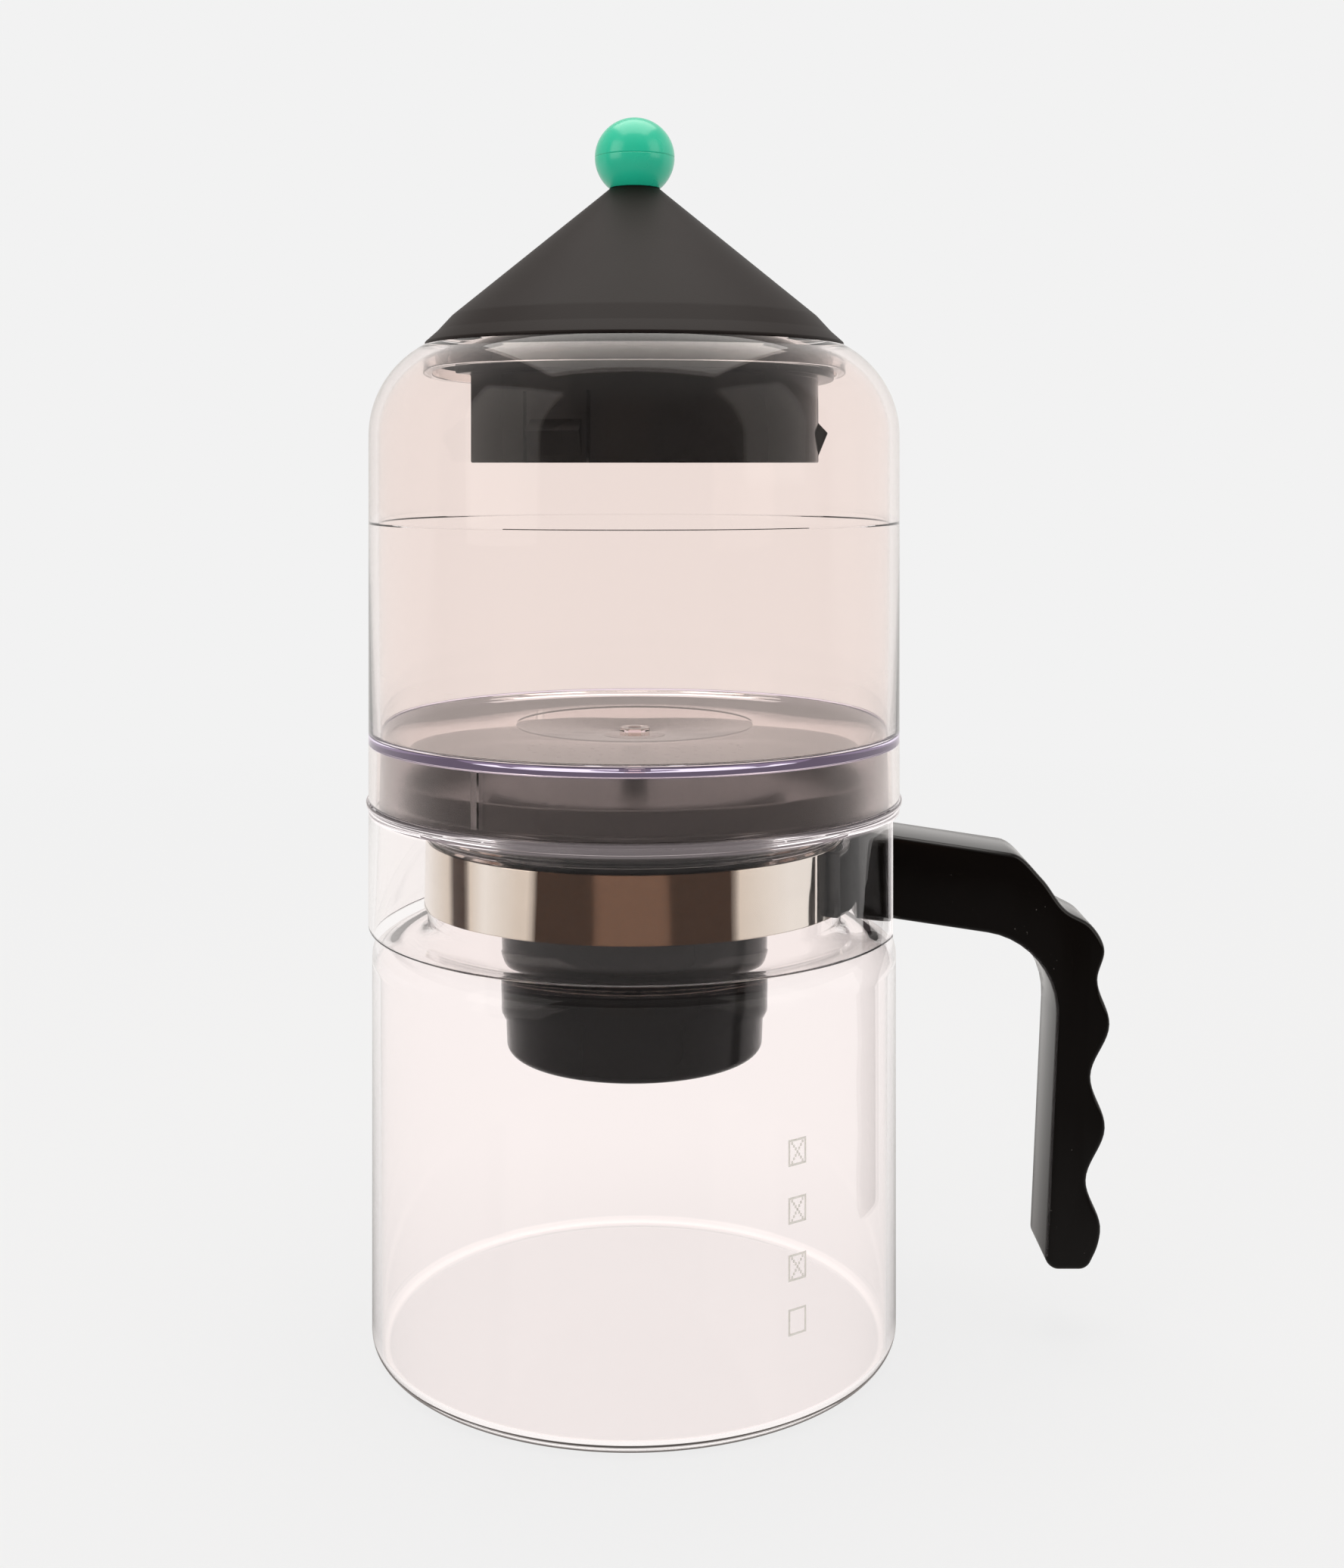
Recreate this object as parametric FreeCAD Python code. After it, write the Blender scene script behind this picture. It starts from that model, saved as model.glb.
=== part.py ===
import FreeCAD, Part
import math
import os

from FreeCAD import Placement, Rotation, Vector

# Cold drip coffee tower, millimetres, +Z up, +X towards the handle, front is -Y.
# The origin is the centre of the jug's flat underside, on the tower's axis.

# Clearances
SEAT = 0.05            # between pieces that are fixed together
SLIP = 0.6             # radial play between lift-off pieces
PAST = 1.0             # how far a cut runs past a face

# Glass jug
JUG_R = 59.15
GLASS = 2.0
FOOT_ROUND = 4.0
NECK_TALL = 33.9       # from the top of the straight wall to the rim
SHOULDER_ROUND = 8.0
NECK_ROUND = 3.0
NECK_IN = 12.65        # the neck stands in from the jug's wall by this much
RIM_Z = 118.9
BEAD_OUT = 0.9
BEAD_TALL = 4.0
LIP_ROUND = 0.7

# Steel band round the neck
BAND_DROP = 20.0       # from the rim to the band's lower edge
BAND_TALL = 14.3
BAND_THICK = 0.8
BAND_EDGE = 0.25
TAB_LONG = 11.0
TAB_TALL = 9.0
TAB_GAP = 0.6

# Saddle between the band and the handle
SADDLE_THICK = 2.6
SADDLE_SPAN = 28.0     # degrees each way from +X
SADDLE_INSET = 0.4     # from the band's edges
SADDLE_ROUND = 1.2

# Handle
HANDLE_THICK = 19.6
HANDLE_EDGE = 1.2
ARM_UNDER_RIM = 5.2    # where the arm passes the tower's wall
ARM_TALL = 18.6
ARM_DROP = 0.15        # fall per millimetre outwards
ARM_OUT = 24.2         # the arm's top runs straight this far past the tower's wall
GRIP_OUT = 46.3        # from the tower's wall to the first crest
GRIP_UNDER_RIM = 47.4
# The knuckle's points, as shares of the way out and down from the arm's end to the first crest
KNUCKLE = [(0.317, 0.150), (0.561, 0.333), (0.833, 0.4325), (0.946, 0.553), (0.878, 0.7385)]
GRIP_PITCH = 23.2
GRIP_LEAN = 1.05       # the crests step in by this much per pitch
GRIP_DEPTH = 3.75
GRIP_CRESTS = 3
GRIP_TAIL_DROP = 5.0   # the last crest runs out over this height
GRIP_TAIL_IN = 1.4
GRIP_TAIL_LEAN = 0.5
GRIP_TALL = 54.7       # from the first crest down to the grip's end
GRIP_THICK = 14.6      # from the palm side to the first crest, at the grip's end
PALM_LEAN = 0.046      # the palm side leans out by this much per millimetre of height
PALM_ROUND = 18.0
GRIP_END_ROUND = 3.0

# Clamp screw across the handle's arm
SCREW_R = 1.5
SCREW_HEAD_R = 2.9
SCREW_HEAD_TALL = 2.0
SCREW_FROM_BAND = 6.5
DRIVE_R = 1.1
DRIVE_DEEP = 1.2
INSERT_R = 2.4
INSERT_LONG = 4.5

# Clear plastic tower
TOWER_PROUD = 0.85     # the tower stands out from the jug's wall by this much
CLEAR = 2.2
SKIRT_DROP = 25.4      # from the rim to the skirt's lower edge
NOTCH_HALF = 20.0      # half width of the skirt's notch for the arm
SHELF_THICK = 2.8
SHELF_LIP_OUT = 0.5
SHELF_LIP_TALL = 0.8
LOCATOR_DEEP = 4.0
SLEEVE_IN = 3.0        # from the tower's wall
SLEEVE_WALL = 1.8
SLEEVE_TALL = 12.7
SLEEVE_WEB = 0.8
SLOT_WIDE = 2.0
SLOT_ANGLES = (237.0, 357.0, 117.0)
FLOOR_RISE = 13.0      # from the shelf's top to the floor's underside
DISH_R = 27.1
DISH_DEEP = 2.0
BARREL_TALL = 46.6
DOME_WALL_TALL = 19.4
DOME_ROUND = 23.2
MOUTH_IN = 12.1        # from the tower's wall to the mouth's outer edge
MOUTH_LAND = 1.9       # width of the mouth's flat edge
MOUTH_TALL = 5.8
MOUTH_WALL = 2.2

# Drip nozzle
NOZZLE_R = 3.4
NOZZLE_BODY_R = 2.4
NOZZLE_BORE_R = 1.5
NOZZLE_FLANGE = 0.9
NOZZLE_DROP = 2.2      # below the floor's dish

# Filter basket
PAN_IN = 7.0           # from the tower's wall
PAN_TALL = 5.6
BASKET_WALL = 1.6
CUP_R = 31.2
CUP_END_R = 28.9
CUP_DEEP = 57.4
CUP_ROUND = 4.0
CUP_PLAY = 1.0
DRAIN_R = 1.1
DRAIN_PITCH = 4.6
DRAIN_RINGS = 5

# Filter disc and water spreader
MESH_THICK = 0.5
MESH_HOLE_R = 0.8
MESH_PITCH = 3.4
MESH_RINGS = 6
SPREADER_R = 34.0
SPREADER_THICK = 1.6
SPREADER_COLLAR = 4.0
SPREADER_HOLE_R = 1.0
SPREADER_PITCH = 5.0
SPREADER_RINGS = 5
SPREADER_KNOB_R = 3.0
SPREADER_KNOB_TALL = 3.4

# Lid cone
CONE_RIM_IN = 0.4      # from the mouth's outer edge
CONE_RIM_TALL = 0.7
CONE_FLARE_IN = 2.8    # from the cone's rim
CONE_FLARE_TALL = 3.2
CONE_SHOULDER_IN = 6.0
CONE_SHOULDER_TALL = 6.7
CONE_TOP_R = 7.9
CONE_TOP_TALL = 34.2
CONE_FLAT_R = 5.5
CONE_CROWN = 2.0       # from the slope's end up to the flat
CONE_WALL = 2.0
CONE_CAP = 2.5

# Lid collar
COLLAR_IN = 1.1        # from the spigot
COLLAR_WALL = 2.0
COLLAR_DROP = 26.4     # from the tank's mouth to the collar's lower edge
FLANGE_LOW = 7.2       # below the tank's mouth
FLANGE_HIGH = 1.7
SPIGOT_IN = 2.5        # from the flange
SPIGOT_TALL = 2.4
POUR_HALF = 34.0       # degrees each way from -X
LUG_ANGLES = (0.0, 112.0, 248.0)
LUG_OUT = 2.1
LUG_HALF = 8.0         # degrees
LUG_TALL = 7.5
LUG_TIP = 5.1
LUG_UP = 1.6
TONGUE_HALF = 10.0     # degrees from a lug to the slit beside it
SLIT_WIDE = 0.9
SLIT_TALL = 15.0

# Ball knob and its fixing
BALL_R = 9.1
BALL_SINK = 2.1        # how far the flat underneath cuts into the ball
BALL_WALL = 1.8
STUD_R = 2.0
STUD_IN_BALL = 5.6
WASHER_R = 4.4
WASHER_THICK = 0.8
NUT_FLATS = 7.0
NUT_TALL = 3.0
STUD_PAST_NUT = 0.8

# Radii and heights that follow
TOWER_R = JUG_R + TOWER_PROUD
REACH = 3 * TOWER_R
NECK_R = JUG_R - NECK_IN
BODY_TOP = RIM_Z - NECK_TALL
BAND_Z = RIM_Z - BAND_DROP
SKIRT_Z = RIM_Z - SKIRT_DROP
SLEEVE_R = TOWER_R - SLEEVE_IN
PAN_R = TOWER_R - PAN_IN
MOUTH_OUT_R = TOWER_R - MOUTH_IN
MOUTH_R = MOUTH_OUT_R - MOUTH_LAND
CONE_RIM_R = MOUTH_OUT_R - CONE_RIM_IN
CONE_FLARE_R = CONE_RIM_R - CONE_FLARE_IN
CONE_SHOULDER_R = CONE_RIM_R - CONE_SHOULDER_IN
FLANGE_R = MOUTH_R - SLIP
SPIGOT_R = FLANGE_R - SPIGOT_IN
COLLAR_R = SPIGOT_R - COLLAR_IN
BAND_R = NECK_R + SEAT
BAND_OUT_R = BAND_R + BAND_THICK
BAND_MID_Z = BAND_Z + BAND_TALL / 2
SADDLE_R = BAND_OUT_R + SEAT
SADDLE_OUT_R = SADDLE_R + SADDLE_THICK
SHELF_TOP = RIM_Z + SHELF_THICK
FLOOR_LOW = SHELF_TOP + FLOOR_RISE
FLOOR_TOP = FLOOR_LOW + CLEAR
BARREL_TOP = FLOOR_TOP + BARREL_TALL
DOME_SPRING = BARREL_TOP + DOME_WALL_TALL
DOME_CENTRE_R = TOWER_R - DOME_ROUND
MOUTH_Z = DOME_SPRING + math.sqrt(DOME_ROUND ** 2 - (MOUTH_OUT_R - DOME_CENTRE_R) ** 2)
CUP_FLOOR = SHELF_TOP - CUP_DEEP
PAN_FLOOR_TOP = SHELF_TOP + BASKET_WALL
CONE_TOP_Z = MOUTH_Z + CONE_TOP_TALL + CONE_CROWN
CONE_CAP_Z = CONE_TOP_Z - CONE_CAP
COLLAR_LOW = MOUTH_Z - COLLAR_DROP
BALL_Z = CONE_TOP_Z + BALL_R - BALL_SINK
WASHER_LOW = CONE_CAP_Z - WASHER_THICK
NUT_LOW = WASHER_LOW - NUT_TALL
SCREW_X = SADDLE_OUT_R + SCREW_FROM_BAND
SKIRT_IN_R = TOWER_R - CLEAR
ARM_TOP_Z = RIM_Z - ARM_UNDER_RIM
ARM_END = (TOWER_R + ARM_OUT, ARM_TOP_Z - (CLEAR + ARM_OUT) * ARM_DROP)
CREST = (TOWER_R + GRIP_OUT, RIM_Z - GRIP_UNDER_RIM)
GRIP_END_Z = CREST[1] - GRIP_TALL
PALM_END_X = CREST[0] - GRIP_THICK


def rz(r, z):
    """A point of a profile that is turned about the tower's axis."""
    return Vector(r, 0, z)


def outline(start, steps):
    """Join lines and three-point arcs into one closed wire."""
    edges = []
    here = start
    for step in steps:
        if len(step) == 3:
            edges.append(Part.Arc(here, step[1], step[2]).toShape())
            here = step[2]
        else:
            edges.append(Part.LineSegment(here, step[1]).toShape())
            here = step[1]
    if here.distanceToPoint(start) > 1e-6:
        edges.append(Part.LineSegment(here, start).toShape())
    return Part.Wire(edges)


def line(r, z):
    return ("line", rz(r, z))


def bend(centre, radius, turn_from, turn_to):
    """An arc about a centre, between two angles in degrees."""
    def at(turn):
        angle = math.radians(turn)
        return rz(centre[0] + radius * math.cos(angle), centre[1] + radius * math.sin(angle))
    return ("arc", at((turn_from + turn_to) / 2), at(turn_to))


def turned(start, steps):
    face = Part.Face(outline(start, steps))
    return face.revolve(Vector(0, 0, 0), Vector(0, 0, 1), 360)


def disc(radius, low, high):
    return Part.makeCylinder(radius, high - low, Vector(0, 0, low))


def ring(inner, outer, low, high):
    return disc(outer, low, high).cut(disc(inner, low - PAST, high + PAST))


def post(radius, low, high, x, y):
    return Part.makeCylinder(radius, high - low, Vector(x, y, low))


def sector(radius, low, high, middle, half):
    """A pie slice about the axis, centred on one bearing."""
    slice_ = Part.makeCylinder(radius, high - low, Vector(0, 0, low), Vector(0, 0, 1), 2 * half)
    slice_.Placement = Placement(Vector(0, 0, 0), Rotation(Vector(0, 0, 1), middle - half))
    return slice_


def radial_bar(wide, low, high, bearing):
    """A straight bar that runs outwards from the axis at a bearing."""
    bar = Part.makeBox(REACH, wide, high - low, Vector(0, -wide / 2, low))
    bar.rotate(Vector(0, 0, 0), Vector(0, 0, 1), bearing)
    return bar


def hole_pattern(radius, pitch, rings, low, high, skip=0):
    """Round holes on rings about the axis, six more on each ring."""
    holes = []
    for number in range(skip, rings + 1):
        count = max(1, 6 * number)
        for index in range(count):
            angle = 2 * math.pi * index / count
            x = number * pitch * math.cos(angle)
            y = number * pitch * math.sin(angle)
            holes.append(post(radius, low, high, x, y))
    return Part.makeCompound(holes)


def jug_base():
    """The jug's floor and the round of its foot."""
    foot = JUG_R - FOOT_ROUND
    steps = [
        line(foot, 0),
        bend((foot, FOOT_ROUND), FOOT_ROUND, -90, 0),
        line(JUG_R - GLASS, FOOT_ROUND),
        bend((foot, FOOT_ROUND), FOOT_ROUND - GLASS, 0, -90),
        line(0, GLASS),
    ]
    return turned(rz(0, 0), steps)


def jug_wall():
    return ring(JUG_R - GLASS, JUG_R, FOOT_ROUND, BODY_TOP)


def jug_neck():
    """The shoulder, the neck and the bead round its rim."""
    round_r = JUG_R - SHOULDER_ROUND
    shelf = BODY_TOP + SHOULDER_ROUND
    cove = (NECK_R + NECK_ROUND, shelf + NECK_ROUND)
    bead_r = NECK_R + BEAD_OUT
    bead_z = RIM_Z - BEAD_TALL
    inner = NECK_R - GLASS
    steps = [
        bend((round_r, BODY_TOP), SHOULDER_ROUND, 0, 90),
        line(cove[0], shelf),
        bend(cove, NECK_ROUND, 270, 180),
        line(NECK_R, bead_z - BEAD_OUT),
        line(bead_r, bead_z),
        line(bead_r, RIM_Z - LIP_ROUND),
        bend((bead_r - LIP_ROUND, RIM_Z - LIP_ROUND), LIP_ROUND, 0, 90),
        line(inner + LIP_ROUND, RIM_Z),
        bend((inner + LIP_ROUND, RIM_Z - LIP_ROUND), LIP_ROUND, 90, 180),
        line(inner, cove[1]),
        bend(cove, NECK_ROUND + GLASS, 180, 270),
        line(round_r, shelf - GLASS),
        bend((round_r, BODY_TOP), SHOULDER_ROUND - GLASS, 90, 0),
    ]
    return turned(rz(JUG_R, BODY_TOP), steps)


def neck_band():
    high = BAND_Z + BAND_TALL
    body = ring(BAND_R, BAND_OUT_R, BAND_Z, high)
    round_edges = [edge for edge in body.Edges if isinstance(edge.Curve, Part.Circle)]
    rims = [edge for edge in round_edges if abs(edge.Curve.Radius - BAND_OUT_R) < 1e-6]
    body = body.makeFillet(BAND_EDGE, rims)
    body = body.cut(radial_bar(TAB_GAP, BAND_Z - PAST, high + PAST, 0))
    for side in (-1, 1):
        middle = side * (TAB_GAP + BAND_THICK) / 2
        tab = Part.makeBox(TAB_LONG, BAND_THICK, TAB_TALL)
        tab.translate(Vector(BAND_R, middle - BAND_THICK / 2, BAND_MID_Z - TAB_TALL / 2))
        body = body.fuse(tab)
    body = body.cut(screw_way(SCREW_R + SEAT))
    return body.removeSplitter()


def screw_way(radius):
    """The straight hole that the clamp screw passes through."""
    return Part.makeCylinder(radius, 2 * REACH, Vector(SCREW_X, -REACH, BAND_MID_Z), Vector(0, 1, 0))


def tab_slot(play):
    half = TAB_GAP / 2 + BAND_THICK + play
    slot = Part.makeBox(TAB_LONG + play, 2 * half, TAB_TALL + 2 * play)
    slot.translate(Vector(BAND_R, -half, BAND_MID_Z - TAB_TALL / 2 - play))
    return slot


def handle_saddle():
    low = BAND_Z + SADDLE_INSET
    high = BAND_Z + BAND_TALL - SADDLE_INSET
    pad = ring(SADDLE_R, SADDLE_OUT_R, low, high)
    pad = pad.common(sector(REACH, low, high, 0, SADDLE_SPAN))
    corners = [edge for edge in pad.Edges if abs(edge.Length - (high - low)) < 1e-6
               and math.hypot(edge.CenterOfMass.x, edge.CenterOfMass.y) > SADDLE_OUT_R - 1e-3]
    pad = pad.makeFillet(SADDLE_ROUND, corners)
    return pad.cut(tab_slot(SEAT))


def grip_back():
    """The handle's outer edge: a knuckle, then finger grooves at an even pitch."""
    points = [rz(*ARM_END)]
    for out, down in KNUCKLE:
        points.append(rz(ARM_END[0] + out * (CREST[0] - ARM_END[0]),
                         ARM_END[1] + down * (CREST[1] - ARM_END[1])))
    for number in range(GRIP_CRESTS):
        crest_x = CREST[0] - number * GRIP_LEAN
        crest_z = CREST[1] - number * GRIP_PITCH
        points.append(Vector(crest_x, 0, crest_z))
        if number < GRIP_CRESTS - 1:
            valley_x = crest_x - GRIP_LEAN / 2 - GRIP_DEPTH
            points.append(Vector(valley_x, 0, crest_z - GRIP_PITCH / 2))
    tail = Vector(-GRIP_TAIL_LEAN, 0, -1)
    points.append(points[-1] + Vector(-GRIP_TAIL_IN, 0, -GRIP_TAIL_DROP))
    along = [0.0]
    for before, after in zip(points, points[1:]):
        along.append(along[-1] + before.distanceToPoint(after))
    curve = Part.BSplineCurve()
    curve.interpolate(Points=points, Parameters=along,
                      InitialTangent=Vector(1, 0, -ARM_DROP), FinalTangent=tail)
    return curve.toShape(), points[-1], tail


def arm_top(x):
    return ARM_TOP_Z - (x - SKIRT_IN_R) * ARM_DROP


def arm_low(x):
    return arm_top(x) - ARM_TALL


def corner_arc(before, corner, after, radius):
    """The tangent arc that rounds a corner: its start, middle and end."""
    to_before = (before - corner).normalize()
    to_after = (after - corner).normalize()
    half = to_before.getAngle(to_after) / 2
    away = radius / math.tan(half)
    centre = corner + (to_before + to_after).normalize() * (radius / math.sin(half))
    middle = centre + (corner - centre).normalize() * radius
    return corner + to_before * away, middle, corner + to_after * away


def palm_x(z):
    return PALM_END_X + (z - GRIP_END_Z) * PALM_LEAN


def handle_outline():
    back, back_end, tail = grip_back()
    root = SADDLE_R - SADDLE_THICK
    top_start = Vector(root, 0, arm_top(root))
    low_start = Vector(root, 0, arm_low(root))
    palm_z = arm_low(PALM_END_X)
    armpit = Vector(palm_x(palm_z), 0, arm_low(palm_x(palm_z)))
    foot_back = back_end + tail * (back_end.z - GRIP_END_Z)
    foot_front = Vector(PALM_END_X, 0, GRIP_END_Z)
    heel = corner_arc(back_end, foot_back, foot_front, GRIP_END_ROUND)
    toe = corner_arc(foot_back, foot_front, armpit, GRIP_END_ROUND)
    inner = corner_arc(foot_front, armpit, low_start, PALM_ROUND)
    edges = [Part.LineSegment(top_start, rz(*ARM_END)).toShape(), back]
    here = back_end
    for arc in (heel, toe, inner):
        if here.distanceToPoint(arc[0]) > 1e-6:
            edges.append(Part.LineSegment(here, arc[0]).toShape())
        edges.append(Part.Arc(*arc).toShape())
        here = arc[2]
    edges.append(Part.LineSegment(here, low_start).toShape())
    edges.append(Part.LineSegment(low_start, top_start).toShape())
    return Part.Wire(edges)


def handle():
    face = Part.Face(handle_outline())
    body = face.extrude(Vector(0, HANDLE_THICK, 0))
    body.translate(Vector(0, -HANDLE_THICK / 2, 0))
    half = HANDLE_THICK / 2
    rims = [edge for edge in body.Edges if abs(abs(edge.CenterOfMass.y) - half) < 1e-6
            and edge.CenterOfMass.x > SADDLE_OUT_R]
    body = body.makeFillet(HANDLE_EDGE, rims)
    body = body.cut(disc(SADDLE_OUT_R + SEAT, 0, REACH))
    body = body.cut(tab_slot(SLIP))
    body = body.cut(screw_hole())
    return body.cut(insert_blank(INSERT_R + SEAT, SEAT))


def screw_hole():
    """From the rear face, with a seat for the head, and blind towards the front."""
    depth = HANDLE_THICK / 2
    shank = Part.makeCylinder(SCREW_R + SEAT, depth, Vector(SCREW_X, 0, BAND_MID_Z), Vector(0, 1, 0))
    head_at = Vector(SCREW_X, depth - SCREW_HEAD_TALL, BAND_MID_Z)
    head = Part.makeCylinder(SCREW_HEAD_R + SEAT, SCREW_HEAD_TALL + PAST, head_at, Vector(0, 1, 0))
    return shank.fuse(head)


def insert_near():
    return TAB_GAP / 2 + BAND_THICK + SLIP + SEAT


def insert_blank(radius, play):
    at = Vector(SCREW_X, -insert_near() + play, BAND_MID_Z)
    return Part.makeCylinder(radius, INSERT_LONG + 2 * play, at, Vector(0, -1, 0))


def clamp_insert():
    return insert_blank(INSERT_R, 0).cut(screw_way(SCREW_R + SEAT))


def clamp_screw():
    head_low = HANDLE_THICK / 2 - SCREW_HEAD_TALL
    tip = -(insert_near() + INSERT_LONG - SEAT)
    shank = Part.makeCylinder(SCREW_R, head_low - tip, Vector(SCREW_X, tip, BAND_MID_Z), Vector(0, 1, 0))
    head = Part.makeCylinder(SCREW_HEAD_R, SCREW_HEAD_TALL - SEAT,
                             Vector(SCREW_X, head_low, BAND_MID_Z), Vector(0, 1, 0))
    drive = hexagon(2 * DRIVE_R, DRIVE_DEEP)
    drive.rotate(Vector(0, 0, 0), Vector(1, 0, 0), 90)
    drive.translate(Vector(SCREW_X, HANDLE_THICK / 2 - SEAT, BAND_MID_Z))
    return shank.fuse(head).cut(drive)


def hexagon(flats, tall):
    """A six-sided prism on the origin."""
    corner = flats / math.sqrt(3)
    points = []
    for index in range(7):
        angle = math.radians(60 * index)
        points.append(Vector(corner * math.cos(angle), corner * math.sin(angle), 0))
    return Part.Face(Part.makePolygon(points)).extrude(Vector(0, 0, tall))


def carrier_ring():
    """Skirt, shelf on the glass rim and the collar that finds the jug's neck."""
    locator = NECK_R - GLASS - SLIP
    lip_r = TOWER_R + SHELF_LIP_OUT
    lip_low = SHELF_TOP - SHELF_LIP_TALL
    hole = CUP_R + CUP_PLAY
    steps = [
        line(TOWER_R, lip_low - SHELF_LIP_OUT),
        line(lip_r, lip_low),
        line(lip_r, SHELF_TOP),
        line(hole, SHELF_TOP),
        line(hole, RIM_Z),
        line(locator - CLEAR, RIM_Z),
        line(locator - CLEAR, RIM_Z - LOCATOR_DEEP),
        line(locator, RIM_Z - LOCATOR_DEEP),
        line(locator, RIM_Z),
        line(SKIRT_IN_R, RIM_Z),
        line(SKIRT_IN_R, SKIRT_Z),
    ]
    body = turned(rz(TOWER_R, SKIRT_Z), steps)
    notch = Part.makeBox(REACH, 2 * NOTCH_HALF, RIM_Z - SKIRT_Z + PAST)
    notch.translate(Vector((NECK_R + SKIRT_IN_R) / 2, -NOTCH_HALF, SKIRT_Z - PAST))
    return body.cut(notch)


def locating_sleeve():
    high = SHELF_TOP + SLEEVE_TALL
    sleeve = ring(SLEEVE_R - SLEEVE_WALL, SLEEVE_R, SHELF_TOP, high)
    for bearing in SLOT_ANGLES:
        sleeve = sleeve.cut(radial_bar(SLOT_WIDE, SHELF_TOP + SLEEVE_WEB, high + PAST, bearing))
    return sleeve


def basket_pan():
    """The wide pan that stands on the shelf, open over the cup."""
    pan_top = SHELF_TOP + PAN_TALL
    steps = [
        line(PAN_R, SHELF_TOP),
        line(PAN_R, pan_top),
        line(PAN_R - BASKET_WALL, pan_top),
        line(PAN_R - BASKET_WALL, PAN_FLOOR_TOP),
        line(CUP_R, PAN_FLOOR_TOP),
    ]
    return turned(rz(CUP_R, SHELF_TOP), steps)


def basket_cup():
    """The deep cup that hangs from the pan into the jug's neck."""
    cup_in = CUP_R - BASKET_WALL
    cup_end_in = CUP_END_R - BASKET_WALL
    inner_round = CUP_ROUND - BASKET_WALL
    steps = [
        line(CUP_END_R - CUP_ROUND, CUP_FLOOR),
        bend((CUP_END_R - CUP_ROUND, CUP_FLOOR + CUP_ROUND), CUP_ROUND, -90, 0),
        line(CUP_R, SHELF_TOP),
        line(CUP_R, PAN_FLOOR_TOP),
        line(cup_in, PAN_FLOOR_TOP),
        line(cup_end_in, CUP_FLOOR + CUP_ROUND),
        bend((cup_end_in - inner_round, CUP_FLOOR + CUP_ROUND), inner_round, 0, -90),
        line(0, CUP_FLOOR + BASKET_WALL),
    ]
    body = turned(rz(0, CUP_FLOOR), steps)
    high = CUP_FLOOR + BASKET_WALL + PAST
    return body.cut(hole_pattern(DRAIN_R, DRAIN_PITCH, DRAIN_RINGS, CUP_FLOOR - PAST, high))


def filter_mesh():
    low = CUP_FLOOR + BASKET_WALL
    radius = CUP_END_R - CUP_ROUND - SEAT
    holes = hole_pattern(MESH_HOLE_R, MESH_PITCH, MESH_RINGS, low - PAST, low + MESH_THICK + PAST)
    return disc(radius, low, low + MESH_THICK).cut(holes)


def water_spreader():
    low = PAN_FLOOR_TOP
    high = low + SPREADER_THICK
    collar_r = CUP_R - BASKET_WALL - SLIP
    body = disc(SPREADER_R, low, high)
    body = body.fuse(ring(collar_r - SPREADER_THICK, collar_r, low - SPREADER_COLLAR, low + SEAT))
    holes = hole_pattern(SPREADER_HOLE_R, SPREADER_PITCH, SPREADER_RINGS, low - PAST, high + PAST, skip=1)
    body = body.cut(holes)
    knob = disc(SPREADER_KNOB_R, high - SEAT, high + SPREADER_KNOB_TALL)
    return body.fuse(knob).removeSplitter()


def tank_floor():
    """Floor plate with a sunk dish, and the wall that stands on the shelf below it."""
    hub = NOZZLE_BODY_R + SEAT
    dish_low = FLOOR_TOP - DISH_DEEP
    steps = [
        line(TOWER_R, FLOOR_TOP),
        line(DISH_R, FLOOR_TOP),
        line(NOZZLE_R + SEAT, dish_low),
        line(hub, dish_low),
        line(hub, dish_low - CLEAR),
        line(NOZZLE_R + CLEAR, dish_low - CLEAR),
        line(DISH_R, FLOOR_LOW),
        line(SKIRT_IN_R, FLOOR_LOW),
        line(SKIRT_IN_R, SHELF_TOP),
    ]
    return turned(rz(TOWER_R, SHELF_TOP), steps)


def drip_nozzle():
    seat = FLOOR_TOP - DISH_DEEP
    low = seat - CLEAR - NOZZLE_DROP
    body = disc(NOZZLE_BODY_R, low, seat)
    body = body.fuse(disc(NOZZLE_R, seat, seat + NOZZLE_FLANGE))
    return body.cut(disc(NOZZLE_BORE_R, low - PAST, seat + NOZZLE_FLANGE + PAST))


def tank_barrel():
    return ring(SKIRT_IN_R, TOWER_R, FLOOR_TOP, BARREL_TOP)


def tank_dome():
    """Upper shell: a short wall, a round shoulder and the mouth with its inner ring."""
    centre = (DOME_CENTRE_R, DOME_SPRING)
    inner_round = DOME_ROUND - CLEAR
    mouth_turn = math.degrees(math.asin((MOUTH_Z - DOME_SPRING) / DOME_ROUND))
    ring_r = MOUTH_R + MOUTH_WALL
    ring_turn = math.degrees(math.acos((ring_r - DOME_CENTRE_R) / inner_round))
    ring_top = DOME_SPRING + inner_round * math.sin(math.radians(ring_turn))
    steps = [
        line(TOWER_R, DOME_SPRING),
        bend(centre, DOME_ROUND, 0, mouth_turn),
        line(MOUTH_R, MOUTH_Z),
        line(MOUTH_R, MOUTH_Z - MOUTH_TALL),
        line(ring_r, MOUTH_Z - MOUTH_TALL),
        line(ring_r, ring_top),
        bend(centre, inner_round, ring_turn, 0),
        line(SKIRT_IN_R, BARREL_TOP),
    ]
    return turned(rz(TOWER_R, BARREL_TOP), steps)


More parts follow.
